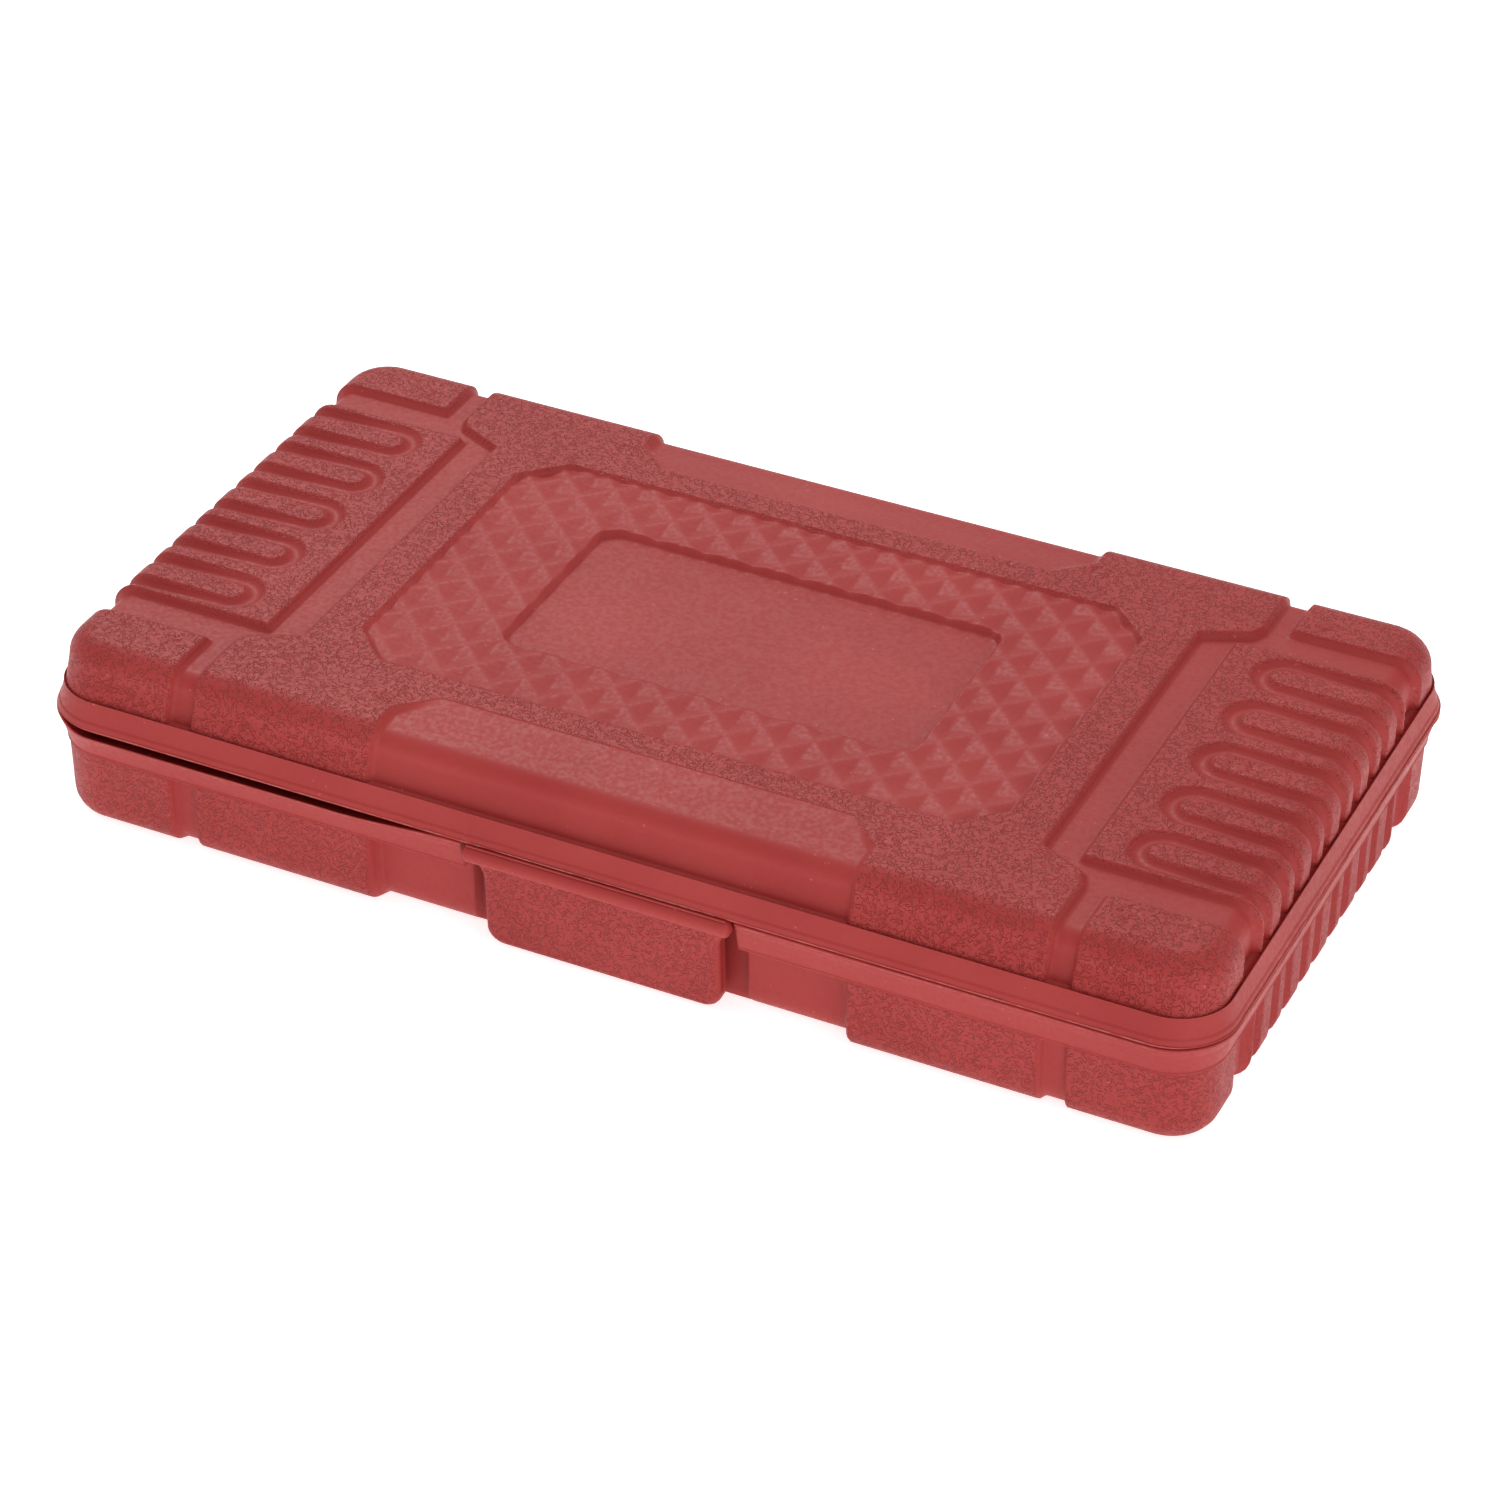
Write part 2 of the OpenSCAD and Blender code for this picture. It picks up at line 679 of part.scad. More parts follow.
module extension_bar() {
    square_l = 11;
    head_l = 20;
    tip = bar_x + bar_l;
    color(chrome) difference() {
        union() {
            turned_x(bar_x, row_handle_y, handle_z) polygon([
                [0, 0], [7.9, 0], [8.5, 0.6], [8.5, 8], [8.1, 8.4], [8.1, 9.4], [8.5, 9.8],
                [8.5, head_l - 3], [5.2, head_l], [5.2, bar_l - square_l - 9], [6.6, bar_l - square_l - 7],
                [6.6, bar_l - square_l - 1], [5.6, bar_l - square_l], [0, bar_l - square_l]
            ]);
            square_bar_x(tip - square_l - 1, row_handle_y, handle_z, large_drive, square_l + 1);
        }
        square_bar_x(bar_x - 1, row_handle_y, handle_z, large_drive + 0.1, 12.5);
        ball_seat(tip - 5.5, row_handle_y, handle_z, large_drive);
    }
}

module extension_ball() {
    locking_ball(bar_x + bar_l - 5.5, row_handle_y, handle_z, large_drive);
}

module drive_adapter() {
    square_l = 7.5;
    body_l = adapter_l - square_l;
    color(chrome) difference() {
        union() {
            turned_x(adapter_x, row_handle_y, handle_z) polygon([
                [0, 0], [7.9, 0], [8.5, 0.6], [8.5, body_l - 4.5],
                [5, body_l - 0.6], [4.4, body_l], [0, body_l]
            ]);
            square_bar_x(adapter_x + body_l - 1, row_handle_y, handle_z, small_drive, square_l + 1);
        }
        square_bar_x(adapter_x - 1, row_handle_y, handle_z, large_drive + 0.1, 12);
        ball_seat(adapter_x + adapter_l - 3.6, row_handle_y, handle_z, small_drive);
    }
}

module adapter_ball() {
    locking_ball(adapter_x + adapter_l - 3.6, row_handle_y, handle_z, small_drive);
}

// ---------- Sockets ----------

// Six-point socket along +Z with its square drive at the bottom and its mouth at the top
module socket(af, mouth_d, neck_d, drive, length, hex_l) {
    mouth_r = mouth_d / 2;
    neck_r = neck_d / 2;
    shoulder = length * 0.42;
    slope = abs(mouth_r - neck_r);
    chamfer = 0.6;
    hex_r = af / 2 / cos(30);
    difference() {
        rotate_extrude() polygon([
            [0, 0], [neck_r - chamfer, 0], [neck_r, chamfer], [neck_r, shoulder * 0.4],
            [neck_r - 0.5, shoulder * 0.4 + 0.5], [neck_r - 0.5, shoulder * 0.4 + 1.6],
            [neck_r, shoulder * 0.4 + 2.1], [neck_r, shoulder], [mouth_r, shoulder + slope + 0.2],
            [mouth_r, length - chamfer], [mouth_r - chamfer, length], [0, length]
        ]);
        translate([-drive / 2, -drive / 2, -1]) cube([drive, drive, length - hex_l + 2]);
        translate([0, 0, length - hex_l]) cylinder(r = hex_r, h = hex_l + 1, $fn = 6);
        translate([0, 0, length - 0.8]) cylinder(r1 = af / 2, r2 = af / 2 + 1, h = 0.9);
    }
}

module large_socket(i) {
    af = large_sizes[i];
    color(chrome) translate([large_x(i), row_large_y + large_len / 2, socket_z]) rotate([90, 0, 0])
        socket(af, large_d(af), large_neck, large_drive + 0.1, large_len, 11);
}

module small_socket(i) {
    af = small_sizes[i];
    color(chrome) translate([small_x(i), row_small_y + small_len / 2, small_z]) rotate([90, 0, 0])
        socket(af, small_d(af), small_neck, small_drive + 0.1, small_len, 11);
}

module at_spark_plug(depth) {
    translate([spark_x + spark_l / 2 - depth, row_ratchet_y, socket_z]) rotate([0, -90, 0]) children();
}

module spark_plug_socket() {
    color(chrome) at_spark_plug(0) difference() {
        socket(21, 27, 20, large_drive + 0.1, spark_l, 18);
        translate([0, 0, 31.5]) cylinder(r = 10.6, h = 16);
    }
}

// Rubber ring that holds a plug in the socket
module spark_plug_insert() {
    color(black) at_spark_plug(32.2)
        rotate_extrude() polygon([[7.2, 0], [10.4, 0], [10.4, 13], [8.6, 13], [7.2, 11]]);
}

base_shell();
base_tray();
lid_shell();
lid_liner();
lid_hinge_webs();
latch_flap();
latch_hinge_web();
ratchet_body();
ratchet_grip();
ratchet_cover();
ratchet_cover_screws();
ratchet_drive_gear();
ratchet_pawl();
ratchet_pawl_spring();
ratchet_reversing_lever();
ratchet_release_button();
ratchet_button_spring();
ratchet_drive_ball();
spinner_grip();
spinner_shank();
spinner_ball();
extension_bar();
extension_ball();
drive_adapter();
adapter_ball();
spark_plug_socket();
spark_plug_insert();
for (i = [0 : len(large_sizes) - 1])
    large_socket(i);
for (i = [0 : len(small_sizes) - 1])
    small_socket(i);
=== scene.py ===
"""Looks of the socket wrench set in its moulded case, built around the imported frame.

Lengths are metres in the CAD frame: +X along the case, -Y to the latch, +Z up, the table at zero.
"""

import math

import bmesh
import bpy
import numpy as np
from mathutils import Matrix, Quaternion, Vector


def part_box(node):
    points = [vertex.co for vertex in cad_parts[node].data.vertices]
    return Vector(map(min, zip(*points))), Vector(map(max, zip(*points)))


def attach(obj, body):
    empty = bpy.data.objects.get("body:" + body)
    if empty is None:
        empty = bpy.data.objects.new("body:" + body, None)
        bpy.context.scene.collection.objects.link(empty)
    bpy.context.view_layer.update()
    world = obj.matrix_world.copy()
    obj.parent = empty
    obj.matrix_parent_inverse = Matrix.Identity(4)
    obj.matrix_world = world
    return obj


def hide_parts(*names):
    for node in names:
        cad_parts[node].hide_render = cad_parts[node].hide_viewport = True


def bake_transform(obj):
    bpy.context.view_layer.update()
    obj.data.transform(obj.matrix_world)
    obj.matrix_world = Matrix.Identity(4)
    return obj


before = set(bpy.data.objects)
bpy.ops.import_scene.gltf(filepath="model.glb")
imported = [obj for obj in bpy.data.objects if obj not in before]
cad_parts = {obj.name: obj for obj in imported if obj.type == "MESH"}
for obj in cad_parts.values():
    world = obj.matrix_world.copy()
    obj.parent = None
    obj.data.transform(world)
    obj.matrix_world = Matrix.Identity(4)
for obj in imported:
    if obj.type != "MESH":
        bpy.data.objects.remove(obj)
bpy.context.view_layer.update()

MM = 0.001

# ---------- Sizes taken from the frame ----------

_, base_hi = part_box("base_shell")
lid_lo, lid_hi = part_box("lid_shell")
latch_lo, latch_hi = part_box("latch_flap")
web_lo, web_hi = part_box("lid_hinge_webs")

RIM_X = lid_hi.x
RIM_Y = lid_hi.y
TOP = lid_hi.z
LID_LOW = lid_lo.z
BASE_TOP = base_hi.z

# ---------- Sizes of the case ----------

# Walls
RIM_R = 15 * MM  # plan corner of the rim
WALL_R = 11.3 * MM  # plan corner of the walls
EDGE_R = 6.4 * MM  # rolled edge between the walls and the faces
WALL_X = RIM_X - 2.9 * MM  # end walls, inside the flared band
OPEN_Y = RIM_Y - 3.2 * MM  # side walls at the band
LID_ROUND_Y = RIM_Y - 5.4 * MM  # side walls at the lid's rolled edge
BASE_ROUND_Y = RIM_Y - 3.9 * MM  # side walls at the base's rolled edge

# Cavities
WALL_T = 5.4 * MM
CAVITY_X = WALL_X - WALL_T
CAVITY_Y = BASE_ROUND_Y - WALL_T
CAVITY_R = 9 * MM
LID_CAVITY_MORE = 1.2 * MM  # how much longer the lid's cavity is at each end
BASE_FLOOR_Z = 2.4 * MM
BASE_LEDGE_Z = 14 * MM
LID_SHOULDER_D = 10.2 * MM  # below the lid's top, where its cavity starts to close
LID_CEILING_D = 4.2 * MM
CEILING_INSET_X = 5 * MM
CEILING_INSET_Y = 6 * MM

# Band and rim
LID_BAND_H = 6.4 * MM
BASE_BAND_H = 7.6 * MM
BAND_STEP = 0.8 * MM  # how far outside the wall the band starts
LIP_H = 0.9 * MM  # depth of the ditch behind the lip
LIP_ROUND = 0.12 * MM
LEDGE_DROP = 0.6 * MM  # height of the soft step under the base's band
# Steps between wall and band, as (outwards from the wall, down from the band's edge)
LIP_STEPS = [(0.30 * MM, LIP_H), (0.42 * MM, LIP_ROUND), (0.55 * MM, 0.0), (0.72 * MM, 0.0)]
LEDGE_STEPS = [(0.72 * MM, 0.0), (0.55 * MM, LEDGE_DROP / 2)]
HEM_START = 0.76  # share of the band's height at which its hem steps out
HEM_LENGTH = 0.05
HEM_D = 0.25 * MM
SEAM_X = -32 * MM  # faint mould seam across the front of the band
SEAM_SHIFT = 0.8 * MM
SEAM_W = 0.45 * MM
SEAM_H = 0.35 * MM
RIM_ROUND = 0.5 * MM  # the band ends this far from the parting face
RIM_INSET = 0.5 * MM
FLASH = 0.6 * MM  # widest reach of the ragged pinch-off line
FLASH_GAP = 0.22 * MM  # from the parting face to the pinch-off line

# The gape between the rims, at the front left
GAPE_DROP = 1.5 * MM
GAPE_EDGE_HOLLOW = 1.2 * MM
GAPE_CAVITY_HOLLOW = 1.4 * MM

# Recess for the latch in the base
RECESS_X = latch_hi.x + 0.5 * MM
RECESS_Y = -(RIM_Y - 9.9 * MM)
RECESS_WALL = 1.8 * MM
LATCH_FOOT_R = 5 * MM  # how far the recess flares at the table

# Surface pattern
CELL = 0.6 * MM
GRAIN_EDGE = 0.6 * MM
SIDE_WALL_Y = 60 * MM  # past this, a point of the base is on a side wall
BEYOND = 2 * RIM_Y  # outside the case
PAST_MIDDLE = -1 * MM  # quarter outlines run a little past the middle lines

# Sloping smooth panels, front and back
PANEL_X = 57.5 * MM
PANEL_EDGE_Y = 54.5 * MM
PANEL_CUT = 8 * MM
FACE_PANEL_D = 1.75 * MM
WALL_PANEL_D = 3.8 * MM

# Octagon of pressed diamonds round a plain window
OCTAGON_X = 78.5 * MM
OCTAGON_Y = 46.5 * MM
OCTAGON_CUT = 9.5 * MM
LATTICE_X = 12.15 * MM
LATTICE_Y = 12.3 * MM
LATTICE_CENTRE = (-0.8 * MM, -1.0 * MM)
RIDGE_D = 0.75 * MM
DIMPLE_D = 1.15 * MM
WINDOW = (50 * MM, 26.5 * MM, 4 * MM)
WINDOW_D = 2.6 * MM

# Smooth channels: one across the face at each end, which branches to the end walls and to the side walls
GROOVE_D = 1.05 * FACE_PANEL_D
ACROSS_IN = 89 * MM
ACROSS_OUT = 98 * MM
TO_END_LOW = 45.8 * MM
TO_END_HIGH = 55.9 * MM
TO_SIDE_IN = 101.5 * MM
TO_SIDE_OUT = 107.7 * MM
FORK = (100 * MM, 51 * MM)  # where the channel splits
FORK_EDGE_Y = 54.3 * MM

# Looped grip grooves
LOOP_X = 112.5 * MM
LOOP_PITCH = 18.5 * MM
LOOP_OUTER = 7 * MM
LOOP_INNER = 3.4 * MM
LOOPS_EACH_SIDE = 2

# Small moulded rings, as (x, y, radius), and twin dashes
VENT_RINGS = [(60 * MM, 59 * MM, 2.2 * MM), (116 * MM, 0.0, 2.6 * MM)]
RING_D = 0.30 * MM
DASH_X = 114 * MM
DASH_Y = 60.5 * MM
DASH_HALF = 1.7 * MM
DASH_OFFSET = 0.9 * MM
DASH_D = 0.35 * MM
MARK_W = 0.42 * MM


# ---------- Numbers and outlines ----------


def smooth(t):
    """Eases from 0 to 1 as t goes from 0 to 1."""
    t = np.clip(t, 0, 1)
    return t * t * (3 - 2 * t)


def ramp(value, start, width):
    """Eases from 0 at start to 1 at start + width."""
    return smooth((value - start) / width)


def bell(value, width):
    """1 at zero, falling off smoothly to either side."""
    return np.exp(-((value / width) ** 2))


def wobble(count, seed, spread):
    """A closed run of random values in -1..1, smoothed over spread neighbours."""
    rng = np.random.default_rng(seed)
    values = rng.uniform(-1, 1, count)
    kernel = np.hanning(2 * spread + 3)[1:-1]
    padded = np.concatenate([values[-spread:], values, values[:spread]])
    run = np.convolve(padded, kernel, mode="valid")
    return run / np.abs(run).max()


def band_distance(value, low, high):
    """How far a value lies inside the band from low to high."""
    return np.minimum(value - low, high - value)


def inside_distance(x, y, outline):
    """Distance to a closed outline, positive inside it."""
    corners = np.array(outline, float)
    nearest = np.full(x.shape, np.inf)
    inside = np.zeros(x.shape, bool)
    for (ax, ay), (bx, by) in zip(corners, np.roll(corners, -1, axis=0)):
        ex, ey = bx - ax, by - ay
        along = np.clip(((x - ax) * ex + (y - ay) * ey) / (ex * ex + ey * ey), 0, 1)
        nearest = np.minimum(nearest, np.hypot(x - ax - along * ex, y - ay - along * ey))
        if ey != 0:
            crosses = (ay > y) != (by > y)
            inside ^= crosses & (x < ax + (y - ay) * ex / ey)
    return np.where(inside, nearest, -nearest)


def box_distance(x, y, half_x, half_y, radius):
    """Distance to a rounded rectangle about the origin, positive inside it."""
    qx = np.abs(x) - (half_x - radius)
    qy = np.abs(y) - (half_y - radius)
    outside = np.hypot(np.maximum(qx, 0), np.maximum(qy, 0))
    return radius - outside - np.minimum(np.maximum(qx, qy), 0)


OCTAGON = [
    (OCTAGON_X, PAST_MIDDLE),
    (OCTAGON_X, OCTAGON_Y - OCTAGON_CUT),
    (OCTAGON_X - OCTAGON_CUT, OCTAGON_Y),
    (PAST_MIDDLE, OCTAGON_Y),
    (PAST_MIDDLE, PAST_MIDDLE),
]
CHANNEL = [
    (ACROSS_IN, PAST_MIDDLE),
    (ACROSS_OUT, PAST_MIDDLE),
    (ACROSS_OUT, TO_END_LOW),
    (BEYOND, TO_END_LOW),
    (BEYOND, TO_END_HIGH),
    (TO_SIDE_OUT, TO_END_HIGH),
    (TO_SIDE_OUT, BEYOND),
    (TO_SIDE_IN, BEYOND),
    (TO_SIDE_IN, FORK_EDGE_Y),
    FORK,
    (ACROSS_IN, TO_END_LOW),
]
LID_PANEL = [
    (-PANEL_X, BEYOND),
    (-PANEL_X, PANEL_EDGE_Y + PANEL_CUT),
    (-PANEL_X + PANEL_CUT, PANEL_EDGE_Y),
    (PANEL_X - PANEL_CUT, PANEL_EDGE_Y),
    (PANEL_X, PANEL_EDGE_Y + PANEL_CUT),
    (PANEL_X, BEYOND),
]


# ---------- Relief of the case ----------


def loop_distance(x, y):
    """Distance into the looped grip grooves, positive inside one."""
    row = np.clip(np.round(y / LOOP_PITCH), -LOOPS_EACH_SIDE, LOOPS_EACH_SIDE)
    across = y - row * LOOP_PITCH
    along = np.minimum(np.abs(x) - LOOP_X, 0)
    radius = np.hypot(along, across)
    return band_distance(radius, LOOP_INNER, LOOP_OUTER)


def groove_depth(channel, loop, x):
    """Depth of the channels and of the softer grip loops, from the distance into each."""
    sharp = ramp(channel, -0.2 * MM, MM)
    soft = ramp(loop, -0.8 * MM, 2.2 * MM)
    toward_end = 0.75 + 0.35 * ramp(np.abs(x), LOOP_X, 18 * MM)
    return GROOVE_D * np.maximum(sharp, soft * toward_end)


def mark_depth(x, y):
    """Depth of the small moulded rings and twin dashes on the lid."""
    depth = np.zeros(x.shape)
    for ring_x, ring_y, radius in VENT_RINGS:
        from_centre = np.hypot(np.abs(x) - ring_x, np.abs(y) - ring_y)
        depth += RING_D * bell(from_centre - radius, MARK_W)
    dash_x = np.abs(x) - DASH_X
    dash_y = np.abs(y) - DASH_Y
    along = np.maximum(np.abs(dash_x + dash_y) / math.sqrt(2) - DASH_HALF, 0)
    for offset in (-DASH_OFFSET, DASH_OFFSET):
        across = (dash_x - dash_y) / math.sqrt(2) - offset
        depth += DASH_D * bell(np.hypot(along, across), MARK_W)
    return depth


def dimples(x, y):
    """The diamond lattice: 0 on the ridges, 1 at the bottom of each dimple."""
    u = (x - LATTICE_CENTRE[0]) / LATTICE_X
    v = (y - LATTICE_CENTRE[1]) / LATTICE_Y
    one = 2 * np.abs((u + v) - np.round(u + v))
    two = 2 * np.abs((u - v) - np.round(u - v))
    ridge_round = 0.09
    return np.hypot(np.minimum(one, two), ridge_round) - ridge_round


def lid_relief(x, y):
    """(depth below the skin, how much of the surface is leather grained) on the lid."""
    channel = inside_distance(np.abs(x), np.abs(y), CHANNEL)
    loop = loop_distance(x, y)
    panel = inside_distance(x, np.abs(y), LID_PANEL)
    octagon = inside_distance(np.abs(x), np.abs(y), OCTAGON)
    in_window = ramp(box_distance(x, y, *WINDOW), -0.275 * MM, 0.55 * MM)
    in_octagon = ramp(octagon, -0.25 * MM, 0.8 * MM)
    in_panel = ramp(panel, -0.5 * MM, 1.9 * MM)
    slope = 0.12 + 0.88 * ramp(np.abs(y), PANEL_EDGE_Y, 13 * MM)
    depth = np.maximum(groove_depth(channel, loop, x), FACE_PANEL_D * slope * in_panel)
    lattice = RIDGE_D + DIMPLE_D * dimples(x, y)
    field = lattice * (1 - in_window) + WINDOW_D * in_window
    depth = depth + in_octagon * field + mark_depth(x, y)
    plain = np.max([channel, loop, octagon, panel], axis=0)
    return depth, 1 - ramp(plain, -0.5 * MM, 0.7 * MM)


def base_relief(x, y):
    """(depth, grain) on the base walls."""
    to_end = np.minimum(np.abs(x) - ACROSS_OUT, band_distance(np.abs(y), TO_END_LOW, TO_END_HIGH))
    to_side = np.minimum(np.abs(y) - SIDE_WALL_Y, band_distance(np.abs(x), TO_SIDE_IN, TO_SIDE_OUT))
    channel = np.maximum(to_end, to_side)
    loop = loop_distance(x, y)
    panel = np.minimum(np.abs(y) - SIDE_WALL_Y, PANEL_X - np.abs(x))
    in_panel = ramp(panel, -0.6 * MM, 2.2 * MM)
    depth = np.maximum(groove_depth(channel, loop, x), WALL_PANEL_D * in_panel)
    plain = np.max([channel, loop, panel], axis=0)
    return depth, 1 - ramp(plain, -GRAIN_EDGE, GRAIN_EDGE)


# ---------- Meshes made of a top grid and rings ----------


class RoundedPlan:
    """A grid over a rounded rectangle, and the closed ring of its edge points."""

    def __init__(self, half_x, half_y, radius, cell):
        nx = round(2 * half_x / cell)
        ny = round(2 * half_y / cell)
        gx, gy = np.meshgrid(np.linspace(-half_x, half_x, nx + 1), np.linspace(-half_y, half_y, ny + 1))
        corner_x = np.clip((np.abs(gx) - (half_x - radius)) / radius, 0, 1)
        corner_y = np.clip((np.abs(gy) - (half_y - radius)) / radius, 0, 1)
        straight_x = np.minimum(np.abs(gx), half_x - radius)
        straight_y = np.minimum(np.abs(gy), half_y - radius)
        disc_x = corner_x * np.sqrt(1 - corner_y * corner_y / 2)
        disc_y = corner_y * np.sqrt(1 - corner_x * corner_x / 2)
        self.x = np.sign(gx) * (straight_x + radius * disc_x)
        self.y = np.sign(gy) * (straight_y + radius * disc_y)
        index = np.arange((nx + 1) * (ny + 1)).reshape(ny + 1, nx + 1)
        self.loop = np.concatenate(
            [index[:-1, -1], index[-1, :0:-1], index[:0:-1, 0], index[0, :-1]]
        )
        self.index = index
        edge = [v.ravel()[self.loop] for v in (gx, gy, straight_x, straight_y, disc_x, disc_y)]
        ex, ey, sx, sy, dx, dy = edge
        self.share = np.stack(
            [np.sign(ex) * sx / (half_x - radius), np.sign(ey) * sy / (half_y - radius)], 1
        )
        out = np.stack([np.sign(ex) * dx, np.sign(ey) * dy], 1)
        self.out = out / np.linalg.norm(out, axis=1)[:, None]

    def ring(self, half_x, half_y, radius):
        """Plan points of another rounded rectangle, one for each edge point of the grid."""
        return self.share * [half_x - radius, half_y - radius] + radius * self.out


class Skin:
    """Collects points, faces and the grain of each point for one mesh."""

    def __init__(self, plan):
        self.plan = plan
        self.points = []
        self.grain = []
        self.faces = []
        self.total = 0
        self.last = None

    def add(self, points, grain):
        """Stores points with their grain, and gives back their numbers."""
        start = self.total
        self.points.append(points)
        self.grain.append(np.broadcast_to(grain, len(points)))
        self.total += len(points)
        return np.arange(start, self.total)

    def grid(self, points, grain):
        """Starts the mesh with the plan's grid."""
        ids = self.add(points, grain)
        index = ids[self.plan.index]
        quads = np.stack([index[:-1, :-1], index[:-1, 1:], index[1:, 1:], index[1:, :-1]], -1)
        self.faces += quads.reshape(-1, 4).tolist()
        self.last = ids[self.plan.loop]

    def ring(self, points, grain=0.0):
        """Joins one more ring to the last one, or starts the mesh with a flat face inside it."""
        ids = self.add(points, grain)
        if self.last is not None:
            quads = np.stack([self.last, ids, np.roll(ids, -1), np.roll(self.last, -1)], 1)
            self.faces += quads.tolist()
        else:
            self.faces.append(ids.tolist())
        self.last = ids

    def cap(self):
        """Closes the mesh with a face inside the last ring."""
        self.faces.append(self.last[::-1].tolist())

    def build(self, name, material):
        """Makes the object, with the grain of each point as an attribute for its material."""
        mesh = bpy.data.meshes.new(name)
        mesh.from_pydata(np.concatenate(self.points).tolist(), [], self.faces)
        attribute = mesh.attributes.new("grain", "FLOAT", "POINT")
        attribute.data.foreach_set("value", np.concatenate(self.grain).astype(np.float32))
        mesh.shade_smooth()
        mesh.materials.append(material)
        obj = bpy.data.objects.new(name, mesh)
        bpy.context.scene.collection.objects.link(obj)
        return obj


def plain_ring(plan, size, z):
    """Ring round a rounded rectangle (half length, half width, corner radius) at one height."""
    flat = plan.ring(*size)
    return np.column_stack([flat, np.full(len(flat), z)])


def pressed_ring(plan, size, z, tilt, relief):
    """Ring of a wall pressed in by the relief, and its grain. tilt is the normal's angle above level."""
    flat = plan.ring(*size)
    depth, grain = relief(flat[:, 0], flat[:, 1])
    flat = flat - plan.out * (depth * math.cos(tilt))[:, None]
    return np.column_stack([flat, z - depth * math.sin(tilt)]), grain


def pressed_face(plan, z, relief):
    """The plan's grid at one height pressed down by the relief, and its grain."""
    x, y = plan.x.ravel(), plan.y.ravel()
    depth, grain = relief(x, y)
    return np.column_stack([x, y, z - depth]), grain


def wall_size(grow=0.0):
    """Half length, half width and corner radius of the wall at the band, grown outwards."""
    return WALL_X + grow, OPEN_Y + grow, WALL_R + 2 * grow


def lip_rings(skin, z, relief):
    """The lip along the top of the lid's band, and the narrow ditch between it and the wall."""
    skin.ring(pressed_ring(skin.plan, wall_size(), z - LIP_H, 0, relief)[0])
    for grow, drop in LIP_STEPS:
        skin.ring(plain_ring(skin.plan, wall_size(grow), z - drop))


def ledge_rings(skin, z, relief):
    """The soft step under the base's band."""
    for grow, drop in LEDGE_STEPS:
        skin.ring(plain_ring(skin.plan, wall_size(grow), z - drop))
    skin.ring(pressed_ring(skin.plan, wall_size(), z - LEDGE_DROP, 0, relief)[0])


def flared_band(skin, z_narrow, z_rim, steps):
    """The smooth band that widens from its step to the rim, with a faint mould seam across it."""
    narrow = np.array(wall_size(BAND_STEP))
    wide = np.array([RIM_X - FLASH, RIM_Y - FLASH, RIM_R - FLASH])
    for t in np.linspace(0, 1, steps):
        hem = HEM_D * (ramp(t, HEM_START, HEM_LENGTH) - 1)
        size = narrow + (wide - narrow) * t + hem
        points = plain_ring(skin.plan, size, z_narrow + (z_rim - z_narrow) * t)
        seam = bell(points[:, 0] - SEAM_X - SEAM_SHIFT * t, SEAM_W) * (points[:, 1] < 0)
        points[:, 1] -= SEAM_H * seam
        skin.ring(points)


def rim_rings(skin, z_lip, z_face, seed):
    """The pinch-off line: a thin ragged lip on the rim, which its negative grain whitens."""
    plan = skin.plan
    count = len(plan.out)
    ragged = 0.5 + 0.5 * wobble(count, seed, 3)
    drift = 0.5 + 0.5 * wobble(count, seed + 1, 60)
    reach = FLASH * (0.25 + 0.75 * ragged * drift)
    edge = plan.ring(RIM_X - FLASH, RIM_Y - FLASH, RIM_R - FLASH)
    lip = edge + plan.out * reach[:, None]
    height = (0.14 * drift + 0.10 * ragged) * MM
    toward = 1 if z_lip > z_face else -1
    near = lip - plan.out * 0.06 * MM
    skin.ring(np.column_stack([edge + plan.out * 0.04 * MM, z_lip + (height + 0.16 * MM) * toward]))
    skin.ring(np.column_stack([near, z_lip + (height + 0.10 * MM) * toward]), -ragged)
    skin.ring(np.column_stack([lip, z_lip + height * toward]), -ragged)
    skin.ring(plain_ring(plan, (RIM_X - RIM_INSET, RIM_Y - RIM_INSET, RIM_R), z_face))


# ---------- Materials ----------

RED = (0.365, 0.034, 0.030)
DEEP_RED = (0.33, 0.025, 0.023)
WHITENED_RED = (0.60, 0.15, 0.13)
LEATHER_SCALE = 950
LEATHER_D = 0.25 * MM
WHITE = (1.0, 1.0, 1.0, 1.0)


